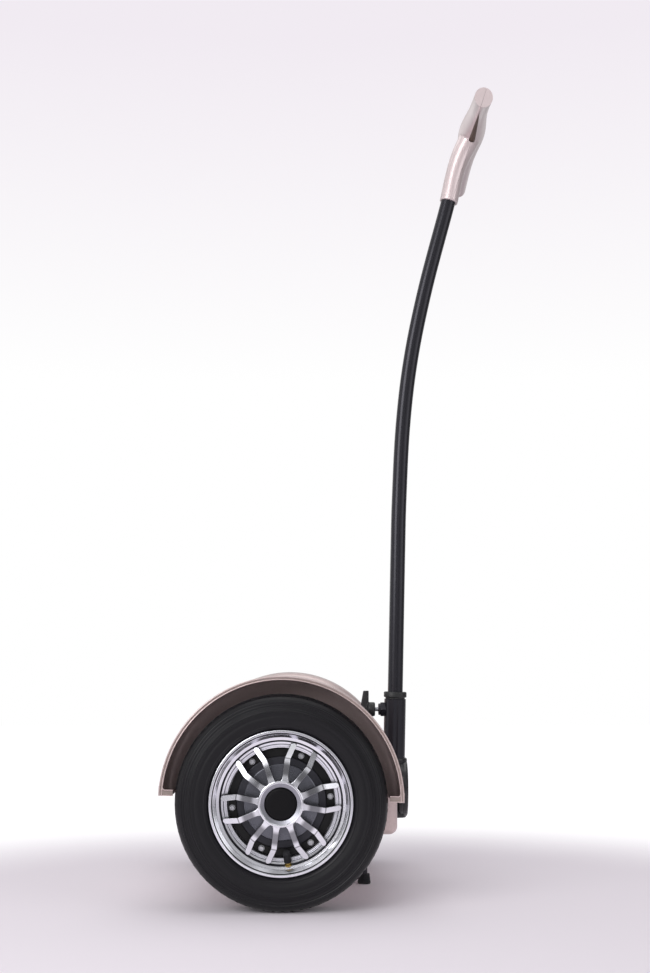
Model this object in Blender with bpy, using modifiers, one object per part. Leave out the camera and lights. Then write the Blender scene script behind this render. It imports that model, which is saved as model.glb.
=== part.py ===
"""Self-balancing scooter: two hub-motor wheels, a footboard between them, a telescoping
steering stem with a bar handle, and a fold-down parking stand.

Units are metres, +X is forward, +Y is the rider's left, +Z is up, and the floor is Z = 0.
Every x and z value below is measured from the wheel axle; one empty puts the axle in place.
"""
import math

import bmesh
import bpy
from mathutils import Matrix, Vector

MM = 0.001
SEAT_GAP = 0.3 * MM

# Tyres and rims. In every wheel profile, u is the distance outboard of the wheel's middle.
TYRE_RADIUS = 175 * MM
TYRE_WIDTH = 102 * MM
TYRE_WALL = 7 * MM
TREAD_WIDTH = 60 * MM
TYRE_SIDE_CLEARANCE = 16 * MM
RIM_WIDTH = 92 * MM
RIM_LIP_RADIUS = 118.4 * MM
RIM_LIP_HEIGHT = 17.1 * MM
RIM_LIP_EDGE = 4 * MM
RIM_WALL = 4 * MM
RIM_WELL_DEPTH = 2.8 * MM
WHEEL_STEPS = 28
MOTOR_STEPS = 20

# Hub motors
WEB_LEDGE = 7.2 * MM
MOTOR_FACE_U = 18 * MM
MOTOR_FLANGE = 6 * MM
SPIGOT_CLEARANCE = 0.9 * MM
ROTOR_DEPTH = 33.7 * MM
ROTOR_WALL = 17.9 * MM
AIR_GAP = 1.6 * MM
COVER_BOSS_RADIUS = 25.5 * MM
INNER_COVER_THICKNESS = 5.7 * MM
OUTER_BEARING_RADIUS = 17.5 * MM
OUTER_BEARING_BORE = 15 * MM
INNER_BEARING_RADIUS = 20 * MM
INNER_BEARING_BORE = 17 * MM
STATOR_SHAFT_RADIUS = 10 * MM
BOLT_INSET = 6.3 * MM
BOLT_COUNT = 6
BOLT_PHASE = math.radians(6.5)
BOLT_HEAD_RADIUS = 4.2 * MM
BOLT_HEAD_HEIGHT = 4.5 * MM
BOLT_SHANK_RADIUS = 2.5 * MM
BOLT_LENGTH = 13 * MM

# Machined wheel face: hub ring and twelve bent spokes in six pairs
HUB_RING_OUTER = 37.3 * MM
HUB_RING_INNER = 26.3 * MM
HUB_PROUD = 12 * MM
HUB_RING_DEPTH = 30 * MM
SPOKE_WIDTH = 8.6 * MM
SPOKE_DEPTH = 8 * MM
SPOKE_KINK_INSET = 8 * MM
SPOKE_TIP_INSET = 20.4 * MM
SPOKE_ROOT_ANGLE = math.radians(12.5)
SPOKE_KINK_ANGLE = math.radians(15)
SPOKE_TIP_ANGLE = math.radians(10.7)
VALVE_ANGLE = math.radians(-83)
VALVE_RADIUS = 5 * MM
VALVE_LENGTH = 28 * MM
VALVE_LEAN = math.radians(30)

# Fenders
FENDER_CLEARANCE = 27 * MM
FENDER_SKIN = 2.5 * MM
FENDER_LIP_INSET = 20 * MM
FENDER_RISE = 3 * MM
FENDER_LIP_DROP = 7 * MM
FENDER_CUT_FRONT_Z = -1.1 * MM
FENDER_CUT_REAR_Z = 10.5 * MM
AXLE_WINDOW_RADIUS = 24 * MM

# Chassis, between the fenders
FRAME_REAR_X = -150 * MM
FRAME_FRONT_X = 165 * MM
FRAME_HALF_WIDTH = 190 * MM
FRAME_BOTTOM_Z = -60.7 * MM
FRAME_TOP_Z = 21 * MM
FRAME_WALL = 5 * MM
AXLE_BLOCK_LENGTH = 28 * MM
AXLE_BLOCK_WIDTH = 46 * MM
PIN_BLOCK_LENGTH = 32 * MM
PIN_BLOCK_WIDTH = 40 * MM
SHELL_REAR_X = -165 * MM
SHELL_FRONT_X = 195 * MM
SHELL_SIDE_GAP = 15 * MM
SHELL_SKIN = 3 * MM
SHELL_CORNER = 14 * MM
DECK_THICKNESS = 8 * MM
MAT_THICKNESS = 4 * MM
MAT_LENGTH = 250 * MM
MAT_WIDTH = 150 * MM
MAT_SPACING = 190 * MM
BATTERY_LENGTH = 160 * MM
BATTERY_WIDTH = 250 * MM
BATTERY_HEIGHT = 52 * MM
BATTERY_X = -50 * MM
CONTROLLER_LENGTH = 70 * MM
CONTROLLER_WIDTH = 150 * MM
CONTROLLER_HEIGHT = 30 * MM
CONTROLLER_X = 75 * MM
BUTTON_RADIUS = 9 * MM
BUTTON_X = 145 * MM
BUTTON_PROUD = 3 * MM
CHARGE_CAP_RADIUS = 15 * MM
CHARGE_CAP_THICKNESS = 4 * MM
CHARGE_PORT_Y = -90 * MM

# Parking stand
STAND_X = 143 * MM
STAND_PIVOT_Z = -77 * MM
STAND_PIN_RADIUS = 4 * MM
STAND_LEG_WIDTH = 16 * MM
STAND_LEG_DEPTH = 12 * MM
STAND_EAR_THICKNESS = 5 * MM
STAND_EAR_RADIUS = 10 * MM
FOOT_HEIGHT = 18 * MM
FOOT_RADIUS = 11 * MM
FOOT_SOCKET_DEPTH = 8 * MM

# Steering stem. Its tubes are ovals: first the fore-and-aft size, then the sideways size.
STEM_X = 201.2 * MM
STEM_REFERENCE_Z = 163 * MM
STEM_TILT = math.radians(1.4)
LEAN_AXIS_Z = -3 * MM
INNER_TUBE = (26 * MM, 32 * MM)
INNER_TUBE_WALL = 2 * MM
OUTER_TUBE = (38 * MM, 44 * MM)
OUTER_TUBE_WALL = 3 * MM
COLLAR = (42 * MM, 48 * MM)
COLLAR_HEIGHT = 10 * MM
COLLAR_TOP_Z = 172 * MM
COLLAR_NECK = 3 * MM
BUSH_DEPTH = 9 * MM
TUBE_BOTTOM_Z = -47 * MM
SOCKET_TOP_Z = 52 * MM
SOCKET_WALL = 4 * MM
SOCKET_FACE_RADIUS = 52 * MM
SOCKET_FACE_X = 225 * MM
SOCKET_FACE_DEPTH = 20 * MM
SOCKET_HUB_RADIUS = 34 * MM
LEAN_PIN_RADIUS = 8 * MM
LEAN_PIN_LENGTH = 42 * MM
NOTCH_HALF_WIDTH = 60 * MM
INNER_TUBE_BOTTOM_Z = 65 * MM
STEM_STRAIGHT_TOP_Z = 425 * MM
STEM_BEND = ((211.3, 527.5), (219.3, 670), (235.4, 801), (264.6, 940.4), (307, 1099), (321.5, 1158))

# Clamp on the back of the outer tube
CLAMP_Z = 140 * MM
CLAMP_BOSS_RADIUS = 13 * MM
CLAMP_BOSS_LENGTH = 11 * MM
CLAMP_SCREW_RADIUS = 4 * MM
CLAMP_SCREW_SHOWN = 6 * MM
KNOB_HUB_LENGTH = 12 * MM
KNOB_HUB_RADIUS = 13 * MM
KNOB_WING_SPAN = 34 * MM
KNOB_WING_LENGTH = 14 * MM
KNOB_WING_WIDTH = 10 * MM

# Handle: a clamshell head and bar, split along a leaning plane
BAR_HALF_LENGTH = 250 * MM
BAR_CENTRE = (357 * MM, 1249 * MM)
BAR_SWEEP = 4.3 * MM
BAR_DROOP = 29 * MM
BAR_END_RADII = (16.2 * MM, 18.4 * MM)
BAR_MIDDLE_RADIUS = 25 * MM
SLEEVE_PATH = ((310.5, 1109), (322.5, 1163), (335, 1200.5), (349, 1229))
SLEEVE_HALF_DEPTHS = (17.5, 17.5, 19, 20.5, 21)
SLEEVE_HALF_WIDTHS = (21, 21.5, 25, 31, 34)
SPLIT_LEAN = math.radians(18.4)
SPLIT_GAP = 0.3 * MM

# How far a cutter runs past what it cuts
OVERRUN = 20 * MM

# Sizes that follow from the ones above
FLOOR_Z = -TYRE_RADIUS
SHELL_HALF_WIDTH = FRAME_HALF_WIDTH + SHELL_SIDE_GAP
WHEEL_Y = SHELL_HALF_WIDTH + TYRE_SIDE_CLEARANCE + TYRE_WIDTH / 2
FENDER_RADIUS = TYRE_RADIUS + FENDER_CLEARANCE
RIM_HALF = RIM_WIDTH / 2
BEAD_RADIUS = RIM_LIP_RADIUS - RIM_LIP_HEIGHT
BARREL_RADIUS = BEAD_RADIUS - RIM_WELL_DEPTH - RIM_WALL
MOTOR_RADIUS = BARREL_RADIUS - WEB_LEDGE
BOLT_CIRCLE_RADIUS = MOTOR_RADIUS - BOLT_INSET
SPOKE_KINK_RADIUS = BOLT_CIRCLE_RADIUS - SPOKE_KINK_INSET
SPOKE_TIP_RADIUS = RIM_LIP_RADIUS - SPOKE_TIP_INSET
ROTOR_OUTER_RADIUS = BARREL_RADIUS - 2 * SEAT_GAP
ROTOR_INNER_RADIUS = ROTOR_OUTER_RADIUS - ROTOR_WALL
ROTOR_TOP_U = MOTOR_FACE_U - MOTOR_FLANGE - SEAT_GAP
ROTOR_BOTTOM_U = ROTOR_TOP_U - ROTOR_DEPTH
HUB_FACE_U = RIM_HALF + HUB_PROUD
DECK_TOP_Z = FRAME_TOP_Z + SEAT_GAP + DECK_THICKNESS
SHELL_BOTTOM_Z = FRAME_BOTTOM_Z - SEAT_GAP - SHELL_SKIN
REAR_REACH = FENDER_RADIUS
FRONT_REACH = BAR_CENTRE[0] + BAR_MIDDLE_RADIUS
AXLE_X = (REAR_REACH - FRONT_REACH) / 2
BAR_END = (BAR_CENTRE[0] - BAR_SWEEP, BAR_CENTRE[1] - BAR_DROOP)


def clear_scene():
    """Start from an empty file."""
    for thing in list(bpy.data.objects):
        bpy.data.objects.remove(thing, do_unlink=True)


clear_scene()
PARTS = bpy.data.collections.new("self_balancing_scooter")
TOOLS = bpy.data.collections.new("cutters")
bpy.context.scene.collection.children.link(PARTS)
bpy.context.scene.collection.children.link(TOOLS)


def finish(name, colour, roughness, metallic):
    """Make one surface finish from a linear colour."""
    made = bpy.data.materials.new(name)
    made.use_nodes = True
    shader = made.node_tree.nodes["Principled BSDF"]
    shader.inputs["Base Color"].default_value = (*colour, 1)
    shader.inputs["Roughness"].default_value = roughness
    shader.inputs["Metallic"].default_value = metallic
    return made


TYRE_RUBBER = finish("tyre_rubber", (0.022, 0.022, 0.027), 0.62, 0)
SOFT_RUBBER = finish("soft_rubber", (0.03, 0.03, 0.032), 0.75, 0)
BRIGHT_ALUMINIUM = finish("machined_aluminium", (0.78, 0.78, 0.8), 0.24, 1)
CAST_ALUMINIUM = finish("cast_aluminium", (0.42, 0.42, 0.44), 0.5, 1)
MOTOR_BLACK = finish("motor_black_paint", (0.02, 0.02, 0.022), 0.4, 0.2)
STEEL = finish("ground_steel", (0.55, 0.55, 0.56), 0.3, 1)
COPPER_CORE = finish("wound_core", (0.45, 0.2, 0.1), 0.5, 0.8)
CHAMPAGNE = finish("champagne_paint", (0.56, 0.47, 0.45), 0.34, 0.6)
STEM_BLACK = finish("black_anodised", (0.02, 0.02, 0.022), 0.38, 0.6)
BLACK_PLASTIC = finish("black_plastic", (0.018, 0.018, 0.02), 0.5, 0)
BATTERY_WRAP = finish("battery_wrap", (0.02, 0.08, 0.2), 0.45, 0)
ZINC = finish("zinc_plated_steel", (0.66, 0.66, 0.68), 0.3, 1)


def empty(name, location, rotation=(0, 0, 0), parent=None):
    """A frame that other objects hang from."""
    made = bpy.data.objects.new(name, None)
    made.location = location
    made.rotation_euler = rotation
    made.parent = parent
    PARTS.objects.link(made)
    return made


def place(name, mesh, material, parent, tool=False):
    """Put a mesh in the scene, as a part or as a hidden tool."""
    made = bpy.data.objects.new(name, mesh)
    made.parent = parent
    if material:
        mesh.materials.append(material)
    if tool:
        made.hide_render = True
        made.display_type = "WIRE"
        TOOLS.objects.link(made)
    else:
        PARTS.objects.link(made)
    return made


def mesh_from(name, bm, smooth=True):
    """Close a bmesh into a mesh whose faces point out."""
    bmesh.ops.recalc_face_normals(bm, faces=bm.faces)
    mesh = bpy.data.meshes.new(name)
    bm.to_mesh(mesh)
    bm.free()
    if smooth:
        mesh.shade_smooth()
        mesh.set_sharp_from_angle(angle=math.radians(35))
    return mesh


def box(name, low, high, material=None, parent=None, tool=False, bevel=0):
    """A block between two corners, with its edges rounded if asked."""
    centre = (Vector(low) + Vector(high)) / 2
    size = Vector(high) - Vector(low)
    bm = bmesh.new()
    bmesh.ops.create_cube(bm, size=1, matrix=Matrix.Diagonal((*size, 1)))
    made = place(name, mesh_from(name, bm, smooth=False), material, parent, tool)
    made.location = centre
    if bevel:
        rounding = made.modifiers.new("rounded edges", "BEVEL")
        rounding.width = bevel
        rounding.segments = 2
    return made


def cylinder(name, radius, length, start, direction, material=None, parent=None, tool=False, sides=24,
             end_radius=None):
    """A round bar or cone that starts at a point and runs along a direction."""
    bm = bmesh.new()
    turn = Vector(direction).to_track_quat("Z", "Y").to_matrix().to_4x4()
    shift = Matrix.Translation(Vector((0, 0, length / 2)))
    top = radius if end_radius is None else end_radius
    bmesh.ops.create_cone(bm, cap_ends=True, segments=sides, radius1=radius, radius2=top, depth=length,
                          matrix=turn @ shift)
    made = place(name, mesh_from(name, bm), material, parent, tool)
    made.location = start
    return made


def turned(name, profile, material, parent, steps=24, closed=False, tool=False, start=0, sweep=2 * math.pi):
    """Turn a profile of (radius, height) points about the parent's Z axis.

    A closed profile is a ring's section; an open one starts and ends on the axis.
    """
    area = 0
    for (r1, h1), (r2, h2) in zip(profile, profile[1:] + profile[:1]):
        area += r1 * h2 - r2 * h1
    points = list(profile) if area < 0 else list(reversed(profile))
    bm = bmesh.new()
    made_points = []
    for radius, height in points:
        made_points.append(bm.verts.new((radius * math.cos(start), radius * math.sin(start), height)))
    for first, second in zip(made_points, made_points[1:]):
        bm.edges.new((first, second))
    if closed:
        bm.edges.new((made_points[-1], made_points[0]))
    mesh = bpy.data.meshes.new(name)
    bm.to_mesh(mesh)
    bm.free()
    made = place(name, mesh, material, parent, tool)
    screw = made.modifiers.new("turning", "SCREW")
    screw.angle = sweep
    screw.steps = steps
    screw.render_steps = steps
    screw.use_merge_vertices = True
    screw.merge_threshold = 0.00001
    return made


def loft(name, rings, material=None, parent=None, tool=False, tube=False):
    """Skin rings of equally many points; a tube's last ring joins its first, else the ends are capped."""
    bm = bmesh.new()
    rows = []
    for ring in rings:
        rows.append([bm.verts.new(point) for point in ring])
    pairs = list(zip(rows, rows[1:]))
    if tube:
        pairs.append((rows[-1], rows[0]))
    count = len(rows[0])
    for lower, upper in pairs:
        for i in range(count):
            j = (i + 1) % count
            bm.faces.new((lower[i], lower[j], upper[j], upper[i]))
    if not tube:
        bm.faces.new(rows[0])
        bm.faces.new(rows[-1])
    return place(name, mesh_from(name, bm), material, parent, tool)


def change(target, tool, operation):
    """Cut or join a target with a tool object."""
    step = target.modifiers.new(tool.name, "BOOLEAN")
    step.operation = operation
    step.object = tool
    step.solver = "EXACT"


def cut(target, *tools):
    """Take tools away from a target."""
    for tool in tools:
        change(target, tool, "DIFFERENCE")


def join(target, *tools):
    """Make tools one body with a target."""
    for tool in tools:
        change(target, tool, "UNION")


def oval_ring(centre, tangent, half_depth, half_width, sides=18):
    """An oval around a point of a path that lies in the XZ plane."""
    across = Vector((tangent.z, 0, -tangent.x)).normalized()
    ring = []
    for i in range(sides):
        angle = 2 * math.pi * i / sides
        ring.append(centre + across * half_depth * math.cos(angle)
                    + Vector((0, half_width * math.sin(angle), 0)))
    return ring


def smooth_path(points, per_span):
    """Read a smooth curve through the points, with a fixed number of steps in each span."""
    padded = [points[0] * 2 - points[1]] + list(points) + [points[-1] * 2 - points[-2]]
    path = []
    for a, b, c, d in zip(padded, padded[1:], padded[2:], padded[3:]):
        for i in range(per_span):
            t = i / per_span
            path.append(0.5 * (2 * b + (c - a) * t + (2 * a - 5 * b + 4 * c - d) * t ** 2
                               + (3 * b - a - 3 * c + d) * t ** 3))
    path.append(points[-1].copy())
    return path


def tangents(path):
    """Direction of a path at each of its points."""
    found = []
    for i in range(len(path)):
        found.append((path[min(i + 1, len(path) - 1)] - path[max(i - 1, 0)]).normalized())
    return found


def build_rim(side, wheel):
    """Alloy rim: bead seats, lips, stepped dish and the web that the motor flange sits in."""
    lip = RIM_LIP_RADIUS
    half = RIM_HALF
    well = BEAD_RADIUS - RIM_WELL_DEPTH
    web_bore = MOTOR_RADIUS + SPIGOT_CLEARANCE
    web_low = MOTOR_FACE_U - MOTOR_FLANGE
    web_high = MOTOR_FACE_U + 10 * MM
    profile = [
        (lip - 5 * MM, half), (lip - 0.8 * MM, half - MM), (lip, half - RIM_LIP_EDGE),
        (BEAD_RADIUS, half - 8 * MM), (BEAD_RADIUS, half - 20 * MM),
        (well, half - 24 * MM), (well, 24 * MM - half), (BEAD_RADIUS, 20 * MM - half),
        (BEAD_RADIUS, 8 * MM - half), (lip, RIM_LIP_EDGE - half),
        (lip - 5 * MM, -half), (BARREL_RADIUS, 8 * MM - half), (BARREL_RADIUS, web_low),
        (web_bore, web_low), (web_bore, web_high), (SPOKE_TIP_RADIUS + MM, web_high + 2 * MM),
        (lip - 14.5 * MM, half - 12 * MM), (lip - 13.8 * MM, half - 9.5 * MM),
        (lip - 6.5 * MM, half - 2.5 * MM),
    ]
    return turned(side + "_rim", profile, BRIGHT_ALUMINIUM, wheel, WHEEL_STEPS, closed=True)


def build_tyre(side, wheel):
    """Pneumatic tyre: a C-shaped section whose beads sit between the rim's lips."""
    half = TYRE_WIDTH / 2
    wall = TYRE_WALL
    bead_u = RIM_HALF - 9 * MM - SEAT_GAP
    lip = RIM_LIP_RADIUS
    tall = TYRE_RADIUS - lip
    outer = [
        (BEAD_RADIUS + SEAT_GAP, bead_u - 0.5 * MM), (lip - 2.6 * MM, RIM_HALF - RIM_LIP_EDGE - 1.8 * MM),
        (lip + 1.5 * SEAT_GAP, RIM_HALF - RIM_LIP_EDGE - 0.8 * MM),
        (lip + 1.2 * MM, RIM_HALF - 2.2 * MM), (lip + 0.2 * tall, half - 1.6 * MM), (lip + 0.42 * tall, half),
        (lip + 0.66 * tall, half - 2.6 * MM), (lip + 0.85 * tall, half - 8 * MM),
        (TYRE_RADIUS - 2.4 * MM, TREAD_WIDTH / 2 + 5 * MM), (TYRE_RADIUS, TREAD_WIDTH / 2 - 8 * MM),
    ]
    inner = [
        (TYRE_RADIUS - 1.2 * wall, TREAD_WIDTH / 2), (lip + 0.5 * tall, half - wall),
        (BEAD_RADIUS + 2.5 * MM, bead_u - wall),
    ]
    profile = outer + [(r, -u) for r, u in reversed(outer)] + [(r, -u) for r, u in reversed(inner)] + inner
    return turned(side + "_tyre", profile, TYRE_RUBBER, wheel, WHEEL_STEPS, closed=True)


def spoke_sections(angle_sign):
    """Centre, along-the-rim direction and depth of each section of one bent spoke, at pair angle 0."""
    base_u = MOTOR_FACE_U + 12 * MM + SEAT_GAP
    root_radius = (HUB_RING_OUTER + HUB_RING_INNER) / 2
    stations = (
        (root_radius, SPOKE_ROOT_ANGLE, HUB_FACE_U - 2 * MM),
        (SPOKE_KINK_RADIUS, SPOKE_KINK_ANGLE, HUB_FACE_U - 8 * MM),
        (SPOKE_TIP_RADIUS, SPOKE_TIP_ANGLE, base_u + SPOKE_DEPTH),
    )
    sections = []
    for radius, angle, top_u in stations:
        turn = angle * angle_sign
        sections.append((Vector((radius * math.cos(turn), radius * math.sin(turn), top_u)),
                         Vector((-math.sin(turn), math.cos(turn), 0))))
    return sections


def build_wheel_face(side, wheel):
    """Hub ring with twelve bent spokes whose tips rest on the rim's dish."""
    ring_low = HUB_FACE_U - HUB_RING_DEPTH
    profile = [
        (HUB_RING_INNER, HUB_FACE_U - 3 * MM), (HUB_RING_OUTER - 3 * MM, HUB_FACE_U),
        (HUB_RING_OUTER, HUB_FACE_U - 2 * MM),
        (HUB_RING_OUTER, ring_low), (HUB_RING_INNER, ring_low),
    ]
    ring = turned(side + "_wheel_face", profile, BRIGHT_ALUMINIUM, wheel, WHEEL_STEPS, closed=True)
    bm = bmesh.new()
    for pair in range(BOLT_COUNT):
        spin = Matrix.Rotation(BOLT_PHASE + 2 * math.pi * pair / BOLT_COUNT, 3, "Z")
        for angle_sign in (-1, 1):
            rows = []
            for centre, sideways in spoke_sections(angle_sign):
                half = sideways * SPOKE_WIDTH / 2
                drop = Vector((0, 0, SPOKE_DEPTH))
                corners = (centre - half, centre + half, centre + half - drop, centre - half - drop)
                rows.append([bm.verts.new(spin @ corner) for corner in corners])
            for lower, upper in zip(rows, rows[1:]):
                for i in range(4):
                    j = (i + 1) % 4
                    bm.faces.new((lower[i], lower[j], upper[j], upper[i]))
            bm.faces.new(rows[0])
            bm.faces.new(rows[-1])
    spokes = place(side + "_spokes", mesh_from(side + "_spokes", bm, smooth=False), None, wheel, tool=True)
    join(ring, spokes)
    return ring


def bolt_place(index, height):
    """Where a motor bolt stands, in its wheel's frame."""
    angle = BOLT_PHASE + 2 * math.pi * index / BOLT_COUNT
    return Vector((BOLT_CIRCLE_RADIUS * math.cos(angle), BOLT_CIRCLE_RADIUS * math.sin(angle), height))


def build_motor(side, wheel, axle):
    """Hub motor: turning covers and rotor, fixed stator and axle, and the two bearings between them."""
    face = MOTOR_FACE_U
    inner_face = face - MOTOR_FLANGE
    boss_top = HUB_FACE_U - 14 * MM
    recess_top = face + 2 * MM
    recess_low = inner_face - 3.8 * MM
    outer_cover = turned(side + "_motor_outer_cover", [
        (0, boss_top), (COVER_BOSS_RADIUS, boss_top), (COVER_BOSS_RADIUS, face + 8 * MM),
        (BOLT_CIRCLE_RADIUS - 20 * MM, face + 7 * MM), (BOLT_CIRCLE_RADIUS - 19 * MM, face + 4 * MM),
        (BOLT_CIRCLE_RADIUS - 8 * MM, face + 3.5 * MM), (BOLT_CIRCLE_RADIUS - 7 * MM, face),
        (MOTOR_RADIUS, face), (MOTOR_RADIUS, inner_face), (ROTOR_INNER_RADIUS - 16 * MM, inner_face + 3 * MM),
        (OUTER_BEARING_RADIUS + 6 * MM, inner_face + 3 * MM), (OUTER_BEARING_RADIUS + 6 * MM, recess_low),
        (OUTER_BEARING_RADIUS + SEAT_GAP, recess_low), (OUTER_BEARING_RADIUS + SEAT_GAP, recess_top),
        (0, recess_top),
    ], MOTOR_BLACK, wheel, MOTOR_STEPS)
    rotor = turned(side + "_rotor_ring", [
        (ROTOR_INNER_RADIUS, ROTOR_TOP_U), (ROTOR_OUTER_RADIUS, ROTOR_TOP_U),
        (ROTOR_OUTER_RADIUS, ROTOR_BOTTOM_U), (ROTOR_INNER_RADIUS, ROTOR_BOTTOM_U),
    ], STEEL, wheel, MOTOR_STEPS, closed=True)
    bm = bmesh.new()
    hole = BOLT_SHANK_RADIUS + SEAT_GAP
    for index in range(BOLT_COUNT):
        low = bolt_place(index, face - BOLT_LENGTH - SEAT_GAP)
        middle = Matrix.Translation(low + Vector((0, 0, BOLT_LENGTH / 2 + MM)))
        bmesh.ops.create_cone(bm, cap_ends=True, segments=8, radius1=hole, radius2=hole,
                              depth=BOLT_LENGTH + 2 * MM, matrix=middle)
    holes = place(side + "_bolt_holes", mesh_from(side + "_bolt_holes", bm), None, wheel, tool=True)
    cut(outer_cover, holes)
    cut(rotor, holes)
    cover_top = ROTOR_BOTTOM_U - SEAT_GAP
    cover_low = cover_top - INNER_COVER_THICKNESS
    seat = INNER_BEARING_RADIUS + SEAT_GAP
    turned(side + "_motor_inner_cover", [
        (seat, cover_low), (ROTOR_OUTER_RADIUS, cover_low), (ROTOR_OUTER_RADIUS, cover_top),
        (seat + 6 * MM, cover_top), (seat + 6 * MM, cover_top + 3.6 * MM), (seat, cover_top + 3.6 * MM),
    ], CAST_ALUMINIUM, wheel, MOTOR_STEPS, closed=True)
    stator_radius = ROTOR_INNER_RADIUS - AIR_GAP
    stator_top = recess_low - SEAT_GAP
    stator_low = cover_top + 4.4 * MM
    turned(side + "_stator", [
        (STATOR_SHAFT_RADIUS + SEAT_GAP, stator_top - 4 * MM), (stator_radius * 0.4, stator_top - 4 * MM),
        (stator_radius * 0.6, stator_top), (stator_radius, stator_top), (stator_radius, stator_low),
        (stator_radius * 0.6, stator_low), (stator_radius * 0.4, stator_low + 4 * MM),
        (STATOR_SHAFT_RADIUS + SEAT_GAP, stator_low + 4 * MM),
    ], COPPER_CORE, axle, 18, closed=True)
    outer_bore = OUTER_BEARING_BORE / 2
    inner_bore = INNER_BEARING_BORE / 2
    turned(side + "_outer_bearing", [
        (outer_bore, recess_low + SEAT_GAP), (OUTER_BEARING_RADIUS, recess_low + SEAT_GAP),
        (OUTER_BEARING_RADIUS, recess_top - SEAT_GAP), (outer_bore, recess_top - SEAT_GAP),
    ], STEEL, axle, 16, closed=True)
    turned(side + "_inner_bearing", [
        (inner_bore, cover_low), (INNER_BEARING_RADIUS, cover_low),
        (INNER_BEARING_RADIUS, cover_top + 3.6 * MM), (inner_bore, cover_top + 3.6 * MM),
    ], STEEL, axle, 16, closed=True)
    axle_end = FRAME_HALF_WIDTH - AXLE_BLOCK_LENGTH - WHEEL_Y
    turned(side + "_axle", [
        (0, recess_top - MM), (outer_bore - SEAT_GAP, recess_top - MM), (outer_bore - SEAT_GAP, stator_top),
        (STATOR_SHAFT_RADIUS, stator_top), (STATOR_SHAFT_RADIUS, stator_low),
        (inner_bore - SEAT_GAP, stator_low), (inner_bore - SEAT_GAP, axle_end), (0, axle_end),
    ], STEEL, axle, 16)
    for index in range(BOLT_COUNT):
        name = "%s_motor_bolt_%d" % (side, index + 1)
        bolt = turned(name, [
            (0, BOLT_HEAD_HEIGHT), (BOLT_HEAD_RADIUS, BOLT_HEAD_HEIGHT), (BOLT_HEAD_RADIUS, 0),
            (BOLT_SHANK_RADIUS, 0), (BOLT_SHANK_RADIUS, -BOLT_LENGTH), (0, -BOLT_LENGTH),
        ], ZINC, wheel, 8)
        bolt.location = bolt_place(index, face + SEAT_GAP)
    turned(side + "_hub_cap", [
        (0, HUB_FACE_U - 1.5 * MM), (HUB_RING_INNER - 4 * MM, HUB_FACE_U - 2 * MM),
        (HUB_RING_INNER - SEAT_GAP, HUB_FACE_U - 4.5 * MM), (HUB_RING_INNER - SEAT_GAP, boss_top + SEAT_GAP),
        (0, boss_top + SEAT_GAP),
    ], BLACK_PLASTIC, wheel, 20)


def build_valve(side, wheel):
    """Tyre valve: it leaves the rim's dish and leans in over the motor cover."""
    outward = Vector((math.cos(VALVE_ANGLE), math.sin(VALVE_ANGLE), 0))
    seat = outward * (SPOKE_TIP_RADIUS + 1.4 * MM) + Vector((0, 0, MOTOR_FACE_U + 19 * MM))
    lean = Vector((0, 0, math.sin(VALVE_LEAN))) - outward * math.cos(VALVE_LEAN)
    made = turned(side + "_valve", [
        (0, VALVE_LENGTH), (VALVE_RADIUS * 0.7, VALVE_LENGTH), (VALVE_RADIUS, VALVE_LENGTH - 3 * MM),
        (VALVE_RADIUS, 7 * MM), (VALVE_RADIUS * 0.75, 6 * MM), (VALVE_RADIUS * 1.2, 0), (0, 0),
    ], BLACK_PLASTIC, wheel, 10)
    made.location = seat
    made.rotation_mode = "QUATERNION"
    made.rotation_quaternion = lean.to_track_quat("Z", "Y")


def build_fender(side, sign, root):
    """Fender: a domed crown with an inboard wall and a turned lip, cut off along one sloping plane."""
    lip_u = RIM_HALF - FENDER_LIP_INSET
    wall_u = SHELL_HALF_WIDTH + SEAT_GAP - WHEEL_Y
    radius = FENDER_RADIUS
    place = (0, sign * WHEEL_Y, FENDER_RISE)
    centre = empty(side + "_fender_centre", place, (-sign * math.pi / 2, 0, 0), root)
    profile = [
        (radius - FENDER_LIP_DROP, lip_u), (radius - 1.5 * MM, lip_u), (radius, lip_u - 4 * MM),
        (radius, wall_u + 20 * MM), (radius - 5 * MM, wall_u + 5 * MM), (radius - 16 * MM, wall_u),
        (AXLE_WINDOW_RADIUS, wall_u),
    ]
    spare = math.radians(12)
    first = -spare if sign < 0 else math.pi - spare
    made = turned(side + "_fender", profile, CHAMPAGNE, centre, 28, start=first, sweep=math.pi + 2 * spare)
    skin = made.modifiers.new("skin", "SOLIDIFY")
    skin.thickness = FENDER_SKIN
    skin.offset = -1
    slope = math.atan2(FENDER_CUT_REAR_Z - FENDER_CUT_FRONT_Z, 2 * radius)
    middle_z = (FENDER_CUT_REAR_Z + FENDER_CUT_FRONT_Z) / 2
    plane = empty(side + "_fender_cut_plane", (0, sign * WHEEL_Y, middle_z), (0, slope, 0), root)
    tall = radius
    below = box(side + "_fender_below", (-1.2 * radius, -TYRE_WIDTH, -tall),
                (1.2 * radius, TYRE_WIDTH, 0), parent=plane, tool=True)
    inner = TYRE_RADIUS + 5 * MM
    low_u = min(sign * wall_u, sign * lip_u) + FENDER_SKIN / 2
    high_u = max(sign * wall_u, sign * lip_u) - FENDER_SKIN / 2
    for end, name in ((-1, "rear"), (1, "front")):
        edge = sorted((end * inner, end * (radius - FENDER_SKIN / 2)))
        flange = box("%s_fender_%s_flange" % (side, name), (edge[0], low_u, -tall / 2),
                     (edge[1], high_u, FENDER_SKIN), parent=plane, tool=True)
        join(made, flange)
    cut(made, below)
    return made


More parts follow.
